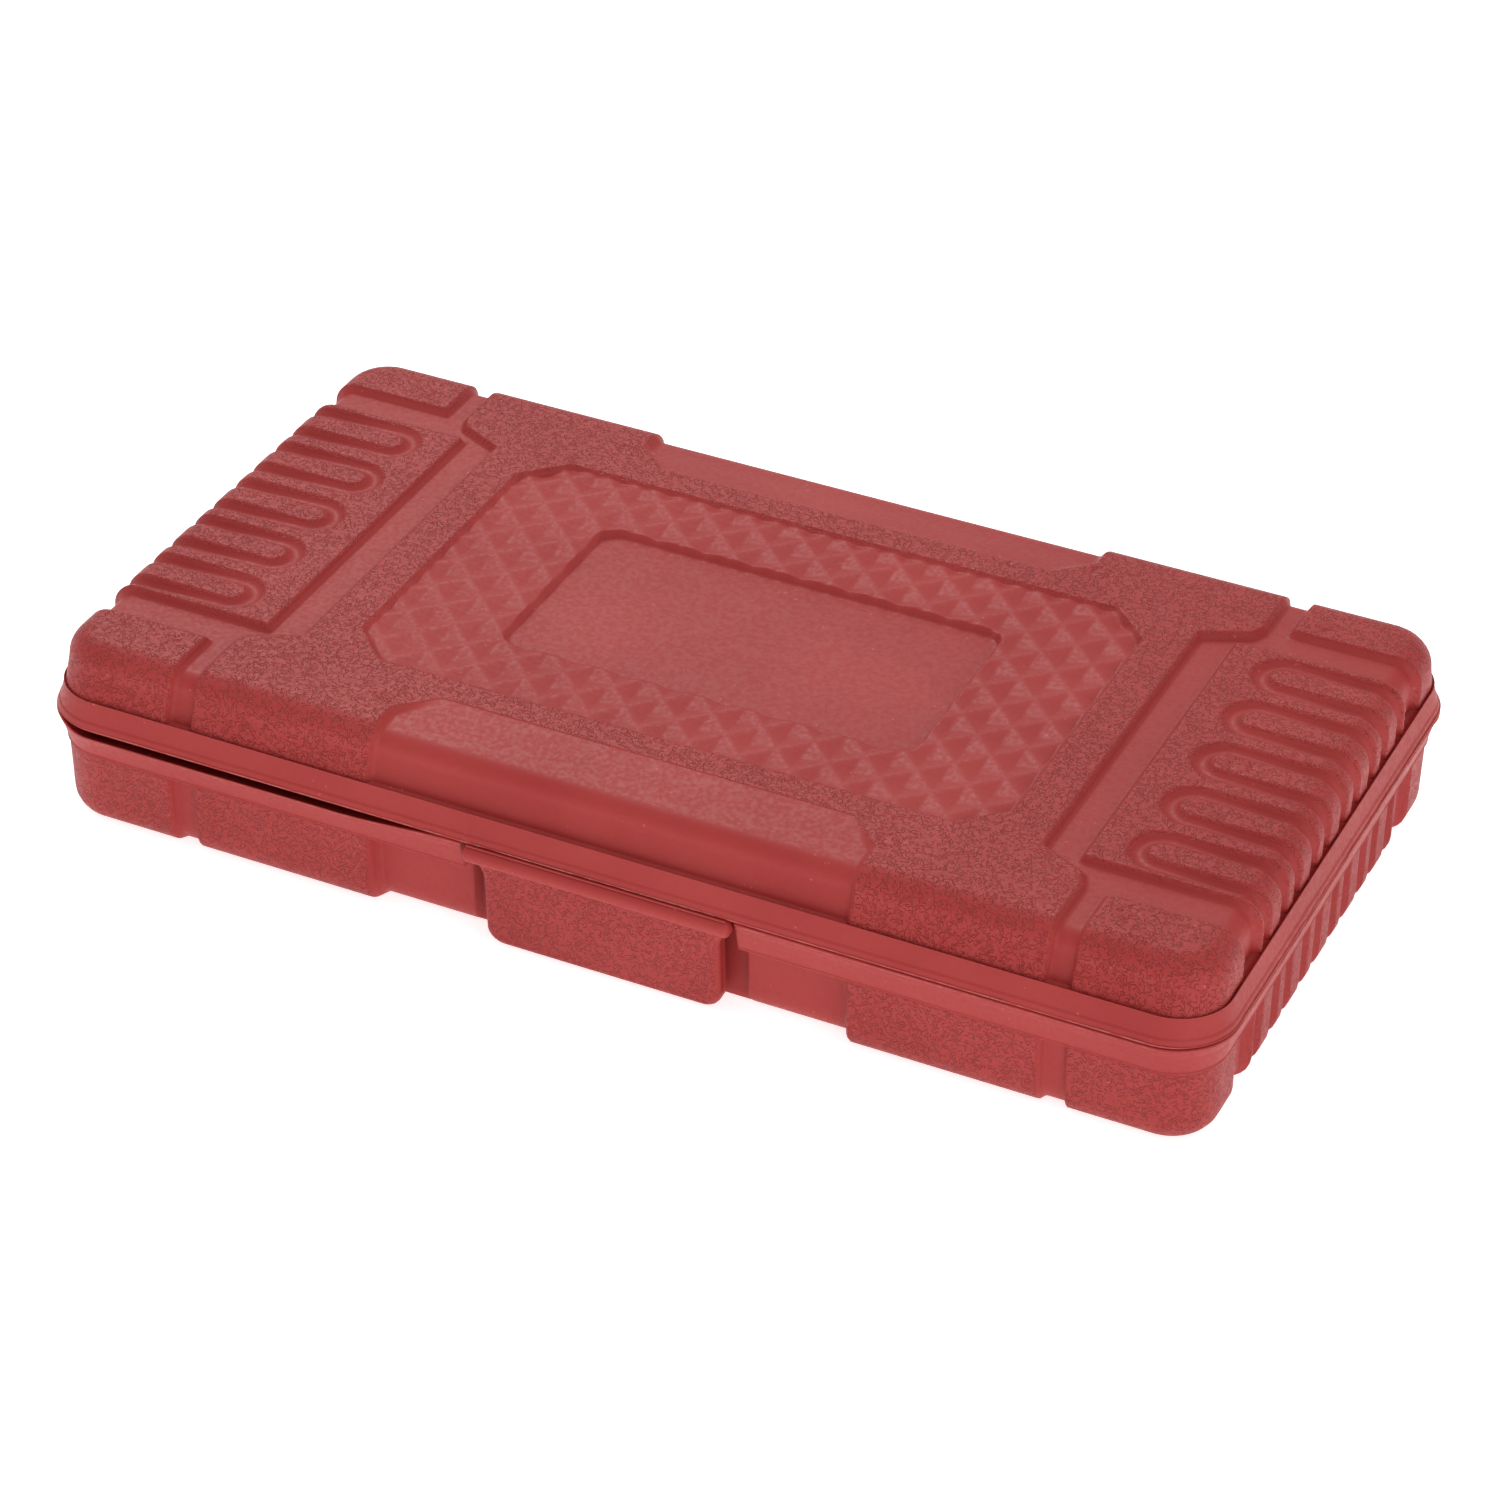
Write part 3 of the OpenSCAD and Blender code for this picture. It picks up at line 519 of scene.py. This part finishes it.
class Nodes:
    """Short hand for building one material's nodes."""

    def __init__(self, name):
        self.material = bpy.data.materials.new(name)
        self.material.use_nodes = True
        self.tree = self.material.node_tree
        self.shader = self.tree.nodes["Principled BSDF"]
        self.coordinates = self.new("ShaderNodeTexCoord").outputs["Object"]

    def new(self, kind, **settings):
        node = self.tree.nodes.new(kind)
        for key, value in settings.items():
            setattr(node, key, value)
        return node

    def link(self, source, target):
        self.tree.links.new(source, target)

    def noise(self, scale, detail=2.0, roughness=0.5, distortion=0.0):
        node = self.new("ShaderNodeTexNoise")
        node.inputs["Scale"].default_value = scale
        node.inputs["Detail"].default_value = detail
        node.inputs["Roughness"].default_value = roughness
        node.inputs["Distortion"].default_value = distortion
        self.link(self.coordinates, node.inputs["Vector"])
        return node.outputs["Fac"]

    def stretched_noise(self, scale, stretch, detail=2.0):
        mapping = self.new("ShaderNodeMapping")
        mapping.inputs["Scale"].default_value = stretch
        self.link(self.coordinates, mapping.inputs["Vector"])
        node = self.new("ShaderNodeTexNoise")
        node.inputs["Scale"].default_value = scale
        node.inputs["Detail"].default_value = detail
        self.link(mapping.outputs["Vector"], node.inputs["Vector"])
        return node.outputs["Fac"]

    def math(self, operation, a, b=None):
        node = self.new("ShaderNodeMath", operation=operation)
        for socket, value in zip(node.inputs, (a, b)):
            if value is None:
                continue
            if isinstance(value, (int, float)):
                socket.default_value = value
            else:
                self.link(value, socket)
        return node.outputs[0]

    def between(self, value, low, high, out_low=0.0, out_high=1.0):
        node = self.new("ShaderNodeMapRange")
        node.interpolation_type = "SMOOTHSTEP"
        self.link(value, node.inputs["Value"])
        limits = {"From Min": low, "From Max": high, "To Min": out_low, "To Max": out_high}
        for key, number in limits.items():
            node.inputs[key].default_value = number
        return node.outputs["Result"]

    def mix(self, share, a, b):
        node = self.new("ShaderNodeMix", data_type="RGBA")
        self.link(share, node.inputs["Factor"])
        for socket, value in ((node.inputs[6], a), (node.inputs[7], b)):
            if isinstance(value, tuple):
                socket.default_value = (*value, 1.0)
            else:
                self.link(value, socket)
        return node.outputs[2]

    def bump(self, height, distance, strength=1.0, under=None):
        node = self.new("ShaderNodeBump")
        node.inputs["Distance"].default_value = distance
        node.inputs["Strength"].default_value = strength
        self.link(height, node.inputs["Height"])
        if under is not None:
            self.link(under, node.inputs["Normal"])
        return node.outputs["Normal"]

    def set(self, **values):
        for key, value in values.items():
            socket = self.shader.inputs[key.replace("_", " ")]
            if isinstance(value, (int, float)):
                socket.default_value = value
            else:
                self.link(value, socket)


def wrinkles(nodes, scale):
    """Leather grain: short winding valleys around low cells."""
    field = nodes.noise(scale, detail=0.3, roughness=0.5, distortion=0.8)
    valley = nodes.math("ABSOLUTE", nodes.math("SUBTRACT", field, 0.5))
    cut = nodes.between(valley, 0.005, 0.085)
    broken = nodes.between(nodes.noise(scale * 0.8, detail=0.0), 0.54, 0.63)
    return nodes.math("MAXIMUM", cut, nodes.math("MULTIPLY", broken, 0.85))


def specks(nodes, scale, size):
    """Sparse pale dots of dust and pigment."""
    cells = nodes.new("ShaderNodeTexVoronoi")
    cells.inputs["Scale"].default_value = scale
    nodes.link(nodes.coordinates, cells.inputs["Vector"])
    dot = nodes.between(cells.outputs["Distance"], size, size * 0.4)
    chosen = nodes.between(nodes.noise(scale * 0.37, detail=0.0), 0.60, 0.66)
    return nodes.math("MULTIPLY", dot, chosen)


def moulded_red(name, red, deep, grained):
    """Moulded polyethylene: satin, a little cloudy, leather grained where the grain attribute says, with
    painted shade in the grain's valleys.
    """
    nodes = Nodes(name)
    cloud = nodes.noise(28, detail=3)
    fine = nodes.noise(900, detail=2)
    colour = nodes.mix(nodes.between(cloud, 0.3, 0.7), deep, red)
    pale = tuple(min(1.0, c * 1.25 + 0.03) for c in red)
    colour = nodes.mix(specks(nodes, 420, 0.16), colour, pale)
    rough = nodes.between(fine, 0.3, 0.7, 0.46, 0.60)
    surface = nodes.bump(fine, 0.02 * MM, 0.5)
    if grained:
        grain = nodes.new("ShaderNodeAttribute", attribute_name="grain").outputs["Fac"]
        whitened = nodes.between(grain, -0.15, -0.7)
        colour = nodes.mix(nodes.math("MULTIPLY", whitened, 0.7), colour, WHITENED_RED)
        leather = wrinkles(nodes, LEATHER_SCALE)
        height = nodes.math("MULTIPLY", leather, grain)
        surface = nodes.bump(height, LEATHER_D, 1.0, under=surface)
        # Painted shade: the grain's valleys are tinted a darker, deeper red where shade would fall.
        painted_valley_shade = nodes.math("MULTIPLY", nodes.math("SUBTRACT", 1.0, leather), grain)
        valley_shade_red = (deep[0], deep[1] * 0.4, deep[2] * 0.4)
        colour = nodes.mix(nodes.math("MULTIPLY", painted_valley_shade, 0.16), colour, valley_shade_red)
    nodes.set(Base_Color=colour, Roughness=rough, Normal=surface, Specular_IOR_Level=0.30)
    nodes.set(Subsurface_Weight=0.06, Subsurface_Scale=0.004)
    nodes.shader.inputs["Subsurface Radius"].default_value = (1.0, 0.25, 0.15)
    return nodes.material


def plated(name, colour, roughness, scratch_roughness):
    """Polished metal with fine handling scratches and faint smudges."""
    nodes = Nodes(name)
    smudge = nodes.noise(60, detail=4, roughness=0.6)
    scratch = nodes.stretched_noise(700, (1.0, 0.06, 1.0), detail=3)
    other = nodes.stretched_noise(700, (0.06, 1.0, 1.0), detail=3)
    lines = nodes.math("MAXIMUM", nodes.between(scratch, 0.62, 0.72), nodes.between(other, 0.64, 0.74))
    dull = tuple(c * 0.86 for c in colour)
    smudged = nodes.between(smudge, 0.3, 0.75, roughness, roughness * 1.9)
    scratched = nodes.math("MULTIPLY", lines, scratch_roughness)
    nodes.set(
        Base_Color=nodes.mix(nodes.between(smudge, 0.35, 0.7), colour, dull),
        Metallic=1.0,
        Roughness=nodes.math("ADD", smudged, scratched),
        Normal=nodes.bump(lines, 0.006 * MM, 0.6),
    )
    return nodes.material


def moulded_dark(name, colour, pale, roughness):
    """Dark plastic or rubber with a fine matt pebble."""
    nodes = Nodes(name)
    cloud = nodes.noise(80, detail=3)
    pebble = nodes.noise(1500, detail=2)
    nodes.set(
        Base_Color=nodes.mix(nodes.between(cloud, 0.35, 0.75), colour, pale),
        Roughness=nodes.between(pebble, 0.3, 0.7, roughness, roughness + 0.14),
        Normal=nodes.bump(pebble, 0.03 * MM, 0.6),
    )
    return nodes.material


def floor_paper():
    """Pale matt studio floor."""
    nodes = Nodes("studio_floor")
    fibre = nodes.noise(240, detail=4)
    nodes.set(
        Base_Color=nodes.mix(nodes.between(fibre, 0.3, 0.7), (0.86, 0.86, 0.86), (0.88, 0.88, 0.88)),
        Roughness=nodes.between(fibre, 0.3, 0.7, 0.8, 0.9),
        Normal=nodes.bump(fibre, 0.02 * MM, 0.3),
        Emission_Strength=0.7,
    )
    nodes.shader.inputs["Emission Color"].default_value = WHITE
    return nodes.material


case_skin = moulded_red("case_skin", RED, DEEP_RED, grained=True)
tray_skin = moulded_red("tray_skin", (0.36, 0.032, 0.036), (0.29, 0.024, 0.027), grained=False)
grip_plastic = moulded_red("grip_plastic", (0.45, 0.020, 0.022), (0.38, 0.014, 0.016), grained=False)
chrome_plate = plated("chrome_plate", (0.80, 0.81, 0.83), 0.10, 0.10)
bright_steel = plated("bright_steel", (0.56, 0.57, 0.59), 0.24, 0.12)
black_lever = moulded_dark("black_lever", (0.020, 0.020, 0.022), (0.035, 0.035, 0.038), 0.42)
black_rubber = moulded_dark("black_rubber", (0.014, 0.014, 0.015), (0.028, 0.028, 0.029), 0.68)


# ---------- Lid ----------


def lid_skin():
    """The lid as one moulding: patterned face, rounded edge, walls, band, rim and cavity."""
    plan = RoundedPlan(WALL_X - EDGE_R, LID_ROUND_Y - EDGE_R, WALL_R - EDGE_R, CELL)
    skin = Skin(plan)
    skin.grid(*pressed_face(plan, TOP, lid_relief))
    for angle in np.radians(range(80, -1, -10)):
        tuck = EDGE_R * (1 - math.cos(angle))
        size = (WALL_X - tuck, LID_ROUND_Y - tuck, WALL_R - tuck)
        skin.ring(*pressed_ring(plan, size, TOP - EDGE_R * (1 - math.sin(angle)), angle, lid_relief))
    step_z = LID_LOW + LID_BAND_H
    foot_z = step_z - LIP_H + 0.3 * MM
    for t in np.linspace(0, 1, 9)[1:]:
        z = TOP - EDGE_R + (foot_z - TOP + EDGE_R) * t
        size = (WALL_X, LID_ROUND_Y + (OPEN_Y - LID_ROUND_Y) * t, WALL_R)
        skin.ring(*pressed_ring(plan, size, z, 0, lid_relief))
    lip_rings(skin, step_z, lid_relief)
    flared_band(skin, step_z - LIP_ROUND, LID_LOW + RIM_ROUND, 26)
    rim_rings(skin, LID_LOW + FLASH_GAP, LID_LOW, seed=3)
    inner = (CAVITY_X + LID_CAVITY_MORE, CAVITY_Y, CAVITY_R)
    skin.ring(plain_ring(plan, inner, LID_LOW))
    skin.ring(plain_ring(plan, inner, TOP - LID_SHOULDER_D))
    ceiling = (CAVITY_X - CEILING_INSET_X, CAVITY_Y - CEILING_INSET_Y, CAVITY_R / 2)
    skin.ring(plain_ring(plan, ceiling, TOP - LID_CEILING_D))
    skin.cap()
    return skin.build("lid_moulding", case_skin)


# ---------- Base ----------


def open_front(points, half, stop_y):
    """Pushes the front of a ring back to stop_y within half of the middle, for the latch."""
    foot = np.clip((LATCH_FOOT_R - points[:, 2]) / LATCH_FOOT_R, 0, 1)
    widened = half + LATCH_FOOT_R * (1 - np.sqrt(1 - foot * foot))
    inside = (np.abs(points[:, 0]) < widened) & (points[:, 1] < 0)
    points[inside, 1] = np.maximum(points[inside, 1], stop_y)
    return points


def sag(points, hollow=0.0):
    """Lowers the front rim left of the latch, where the rims gape, and hollows it behind its edge."""
    run = ramp(points[:, 0], -138 * MM, 10 * MM) * ramp(-points[:, 0], 34 * MM, 30 * MM)
    front = ramp(-points[:, 1], SIDE_WALL_Y, 8 * MM)
    high = ramp(points[:, 2], BASE_TOP - BASE_BAND_H, BASE_BAND_H)
    points[:, 2] -= (GAPE_DROP * high + hollow) * run * front
    return points


def base_skin():
    """The base as one moulding: cavity, rim, band, walls, rolled edge and underside."""
    plan = RoundedPlan(WALL_X - EDGE_R, BASE_ROUND_Y - EDGE_R, WALL_R - EDGE_R, CELL)
    skin = Skin(plan)

    def inner(size, z, hollow=0.0):
        points = sag(plain_ring(plan, size, z), hollow)
        skin.ring(open_front(points, RECESS_X + RECESS_WALL, RECESS_Y + RECESS_WALL))

    def outer(points, grain=0.0):
        skin.ring(open_front(sag(points), RECESS_X, RECESS_Y), grain)

    cavity = (CAVITY_X, CAVITY_Y, CAVITY_R)
    inner(cavity, BASE_FLOOR_Z)
    inner(cavity, BASE_LEDGE_Z)
    inner(cavity, BASE_TOP, GAPE_CAVITY_HOLLOW)
    edge = 1.2 * MM
    inner((RIM_X - edge, RIM_Y - edge, RIM_R - edge), BASE_TOP, GAPE_EDGE_HOLLOW)
    rim = Skin(plan)
    rim_rings(rim, BASE_TOP - FLASH_GAP, BASE_TOP, seed=11)
    for points, grain in zip(rim.points[::-1], rim.grain[::-1]):
        outer(points, grain)
    step_z = BASE_TOP - BASE_BAND_H
    band = Skin(plan)
    flared_band(band, step_z + 0.15 * MM, BASE_TOP - RIM_ROUND, 14)
    for points in band.points[::-1]:
        outer(points)
    ledge = Skin(plan)
    ledge_rings(ledge, step_z, base_relief)
    for points in ledge.points:
        outer(points)
    wall_top = step_z - 0.9 * MM
    for t in np.linspace(0, 1, 16):
        size = (WALL_X, OPEN_Y + (BASE_ROUND_Y - OPEN_Y) * t, WALL_R)
        outer(*pressed_ring(plan, size, wall_top + (EDGE_R - wall_top) * t, 0, base_relief))
    for angle in np.radians(range(-15, -91, -15)):
        tuck = EDGE_R * (1 - math.cos(angle))
        size = (WALL_X - tuck, BASE_ROUND_Y - tuck, WALL_R - tuck)
        outer(*pressed_ring(plan, size, EDGE_R * (1 + math.sin(angle)), 0, base_relief))
    skin.cap()
    return skin.build("base_moulding", case_skin)


# ---------- Latch and hinges ----------

LATCH_LEAN = math.radians(5)
BEAD_R = 2.1 * MM
BEAD_Y = latch_lo.y + BEAD_R
BEAD_Z = latch_hi.z - BEAD_R
BEAD_END = 1.2 * MM  # length of the bead's rounded ends
BEAD_BACK = 2.4 * MM  # from the bead's axis to its flat back
FLAP_X = 28.4 * MM
FLAP_T = 4.8 * MM
FLAP_R = 4.4 * MM
FLAP_EDGE_R = 1.5 * MM
FLAP_BACK_INSET = 0.8 * MM
FLAP_BULGE = 0.35 * MM
FLAP_FACE_Y = latch_lo.y + 2.3 * MM
FLAP_FLARE = 0.12  # share by which the flap widens towards the bead
FLAP_FLARE_H = 7.5 * MM
HOOK_X = 20 * MM
WEB_PITCH = 84 * MM
WEB_LENGTH = 56 * MM
WEB_T = 0.5 * MM


def recalculate(obj):
    """Points the normals of a closed mesh outwards."""
    work = bmesh.new()
    work.from_mesh(obj.data)
    bmesh.ops.recalc_face_normals(work, faces=work.faces)
    work.to_mesh(obj.data)
    work.free()


def loft(name, sections, material):
    """A closed mesh through sections with the same number of points."""
    mesh = bpy.data.meshes.new(name)
    count = len(sections[0])
    faces = [
        (k * count + i, k * count + (i + 1) % count, (k + 1) * count + (i + 1) % count, (k + 1) * count + i)
        for k in range(len(sections) - 1)
        for i in range(count)
    ]
    faces.append(list(range(count))[::-1])
    faces.append([(len(sections) - 1) * count + i for i in range(count)])
    mesh.from_pydata([tuple(p) for s in sections for p in s], [], faces)
    mesh.shade_smooth()
    mesh.materials.append(material)
    obj = bpy.data.objects.new(name, mesh)
    bpy.context.scene.collection.objects.link(obj)
    recalculate(obj)
    return obj


def latch_plate():
    """The grained flap: a slab with rounded edges that leans in towards its foot."""
    half = (BEAD_Z - latch_lo.z) / math.cos(LATCH_LEAN) / 2
    plan = RoundedPlan(FLAP_X, half, FLAP_R, 0.5 * MM)
    skin = Skin(plan)

    def place(x, s, n):
        """x along the case, s up the flap from its middle, n out of its front face."""
        down = half - s
        x = x * (1 + FLAP_FLARE * smooth(1 - down / FLAP_FLARE_H) ** 1.5)
        y = FLAP_FACE_Y + down * math.sin(LATCH_LEAN) - n * math.cos(LATCH_LEAN)
        z = BEAD_Z - down * math.cos(LATCH_LEAN) - n * math.sin(LATCH_LEAN)
        return np.column_stack([x, y, z])

    def level(size, n):
        """Ring of the flap's outline at one depth."""
        outline = plan.ring(*size)
        return place(outline[:, 0], outline[:, 1], np.full(len(outline), n))

    x, s = plan.x.ravel(), plan.y.ravel()
    near = np.clip(box_distance(x, s, FLAP_X, half, FLAP_R), 0, FLAP_EDGE_R)
    sunk = FLAP_EDGE_R - np.sqrt(FLAP_EDGE_R * FLAP_EDGE_R - (FLAP_EDGE_R - near) ** 2)
    bowed = FLAP_BULGE * (1 - (x / FLAP_X) ** 2) * np.cos(s / half * math.pi / 2)
    skin.grid(place(x, s, bowed - sunk - FLAP_BULGE), ramp(near, 0.7 * MM, 0.5 * MM))
    for n in np.linspace(-FLAP_EDGE_R - FLAP_BULGE, -FLAP_T + FLAP_BACK_INSET, 4):
        skin.ring(level((FLAP_X, half, FLAP_R), n))
    back = (FLAP_X - FLAP_BACK_INSET, half - FLAP_BACK_INSET, FLAP_R - FLAP_BACK_INSET)
    skin.ring(level(back, -FLAP_T))
    skin.cap()
    return skin.build("latch_plate", case_skin)


def latch_bead():
    """The rolled bead along the top of the latch, with rounded ends and a flat back."""
    half = latch_hi.x
    end = BEAD_END * (1 - np.cos(np.linspace(0, math.pi / 2, 5)))
    middle = np.linspace(-half + 2 * MM, half - 2 * MM, 41)
    stations = np.concatenate([-half + end, middle, half - end[::-1]])
    uneven = wobble(len(stations), 21, 3) * 0.05 * MM
    around = np.radians(range(60, 301, 15))
    sections = []
    for x, bulge in zip(stations, uneven):
        inset = max(0.0, abs(x) - (half - BEAD_END)) / BEAD_END
        r = BEAD_R * math.sqrt(max(0.02, 1 - inset * inset))
        front = r + min(0.0, bulge)
        roll = [(x, BEAD_Y + front * math.cos(a), BEAD_Z + r * math.sin(a)) for a in around]
        back_y = BEAD_Y + BEAD_BACK
        sections.append([(x, back_y, BEAD_Z + r), *roll, (x, back_y, BEAD_Z - r)])
    return loft("latch_bead", sections, case_skin)


def latch_hook():
    """The plain rib behind the flap, which stays clear of the base."""
    # (out from the recess, height) in millimetres
    profile = [(-4.0, 12.0), (-1.9, 12.0), (-1.5, 12.4), (-1.5, 13.6), (-1.9, 14.2), (-4.0, 14.2)]
    sections = [
        [(x, RECESS_Y + y * MM, z * MM) for y, z in profile]
        for x in np.linspace(-HOOK_X, HOOK_X, 9)
    ]
    return loft("latch_hook", sections, case_skin)


def folded_strip(name, middle_x, length, y_root, y_fold, z_low, z_high, thickness):
    """A thin web folded back on itself between two rims."""
    mid = (z_low + z_high) / 2
    radius = (z_high - z_low) / 2
    turn = np.radians(np.linspace(-90, 90, 13))

    def arc(r, angles):
        return [(y_fold - radius + r * math.cos(a), mid + r * math.sin(a)) for a in angles]

    outer = [(y_root, z_low), *arc(radius, turn), (y_root, z_high)]
    inner = [(y_root, z_high - thickness), *arc(radius - thickness, turn[::-1]), (y_root, z_low + thickness)]
    sections = [
        [(middle_x + x, y, z) for y, z in outer + inner]
        for x in np.linspace(-length / 2, length / 2, 15)
    ]
    return loft(name, sections, case_skin)


def case_pieces():
    """Builds the case mouldings and puts each on its body."""
    lid = lid_skin()
    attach(lid, "case_lid")
    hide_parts("lid_shell")
    base = base_skin()
    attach(base, "case_base")
    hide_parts("base_shell")
    plate = latch_plate()
    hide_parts("latch_flap")
    for piece in (plate, latch_bead(), latch_hook()):
        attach(piece, "latch")


def hinge_pieces():
    """The webs folded back on themselves between the rims."""
    for number, x in enumerate((-WEB_PITCH, 0.0, WEB_PITCH)):
        name = f"hinge_web_{number + 1}"
        web = folded_strip(name, x, WEB_LENGTH, RIM_Y - 0.2 * MM, web_hi.y, web_lo.z, web_hi.z, WEB_T)
        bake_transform(web)
    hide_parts("lid_hinge_webs")


# ---------- Finish of the CAD nodes ----------


def finish_cad_node(name, material, width):
    """Softens a CAD node's edges and gives it its material."""
    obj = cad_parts[name]
    obj.data.materials.clear()
    obj.data.materials.append(material)
    weld = obj.modifiers.new("weld", "WELD")
    weld.merge_threshold = 0.001 * MM
    bevel = obj.modifiers.new("soft_edges", "BEVEL")
    bevel.width = width
    bevel.segments = 2
    bevel.limit_method = "ANGLE"
    bevel.angle_limit = math.radians(40)
    bevel.harden_normals = False
    for polygon in obj.data.polygons:
        polygon.use_smooth = True
    obj.modifiers.new("even_shading", "WEIGHTED_NORMAL").keep_sharp = True


def cad_finishes():
    """Material and edge softening for every CAD node that still shows."""
    finishes = {
        "base_tray": (tray_skin, 0.4), "lid_liner": (tray_skin, 0.5), "latch_hinge_web": (case_skin, 0.05),
        "ratchet_body": (chrome_plate, 0.4), "ratchet_grip": (grip_plastic, 0.4),
        "ratchet_cover": (bright_steel, 0.2), "ratchet_cover_screws": (bright_steel, 0.08),
        "ratchet_drive_gear": (bright_steel, 0.12), "ratchet_pawl": (bright_steel, 0.1),
        "ratchet_pawl_spring": (bright_steel, 0.03), "ratchet_reversing_lever": (black_lever, 0.3),
        "ratchet_release_button": (chrome_plate, 0.15), "ratchet_button_spring": (bright_steel, 0.03),
        "ratchet_drive_ball": (bright_steel, 0.03), "spinner_grip": (grip_plastic, 0.4),
        "spinner_shank": (chrome_plate, 0.2), "spinner_ball": (bright_steel, 0.03),
        "extension_bar": (chrome_plate, 0.25), "extension_ball": (bright_steel, 0.03),
        "drive_adapter": (chrome_plate, 0.25), "adapter_ball": (bright_steel, 0.03),
        "spark_plug_socket": (chrome_plate, 0.2), "spark_plug_insert": (black_rubber, 0.2),
    }
    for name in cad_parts:
        if "_socket_" in name:
            finishes[name] = (chrome_plate, 0.15)
    for name, (material, width) in finishes.items():
        finish_cad_node(name, material, width * MM)


# ---------- Studio ----------

WORLD_STRENGTH = 0.70
CAMERA_LENS = 114.6  # millimetres, on a 36 mm sensor
CAMERA_PLACE = (0.37218, -0.81398, 0.62683)
CAMERA_AIM = (0.006135, -0.013557, 0.025)
CAMERA_ROLL = math.radians(1.275)


def soft_light(name, place, target, size, power):
    """A square area light that faces the target."""
    data = bpy.data.lights.new(name, "AREA")
    data.size = size
    data.energy = power
    light = bpy.data.objects.new(name, data)
    bpy.context.scene.collection.objects.link(light)
    light.location = place
    direction = Vector(target) - Vector(place)
    light.rotation_euler = direction.to_track_quat("-Z", "Y").to_euler()


def studio_floor():
    """A wide pale floor under the case."""
    bpy.ops.mesh.primitive_plane_add(size=12, location=(0, 0, 0))
    floor = bpy.context.object
    floor.name = "studio_floor"
    floor.data.materials.append(floor_paper())


def studio_light():
    """Even white surroundings, a large window behind and a weak fill in front."""
    world = bpy.data.worlds.new("studio_world")
    bpy.context.scene.world = world
    world.use_nodes = True
    background = world.node_tree.nodes["Background"]
    background.inputs["Color"].default_value = WHITE
    background.inputs["Strength"].default_value = WORLD_STRENGTH
    soft_light("window_side", (-2.0, 2.4, 3.4), (0, 0, 0), size=1.9, power=84)
    soft_light("front_fill", (1.8, -1.6, 1.0), (0, 0, 0.02), size=1.6, power=15)


def photo_camera():
    """The camera at the photograph's viewing angle."""
    data = bpy.data.cameras.new("photo_camera")
    data.lens = CAMERA_LENS
    data.sensor_width = 36
    data.clip_start = 0.05
    camera = bpy.data.objects.new("photo_camera", data)
    bpy.context.scene.collection.objects.link(camera)
    camera.location = CAMERA_PLACE
    camera.rotation_mode = "QUATERNION"
    level = (Vector(CAMERA_AIM) - camera.location).to_track_quat("-Z", "Y")
    camera.rotation_quaternion = level @ Quaternion((0, 0, 1), CAMERA_ROLL)
    bpy.context.scene.camera = camera
    bpy.context.scene.view_settings.view_transform = "Standard"


case_pieces()
hinge_pieces()
cad_finishes()
studio_floor()
studio_light()
photo_camera()
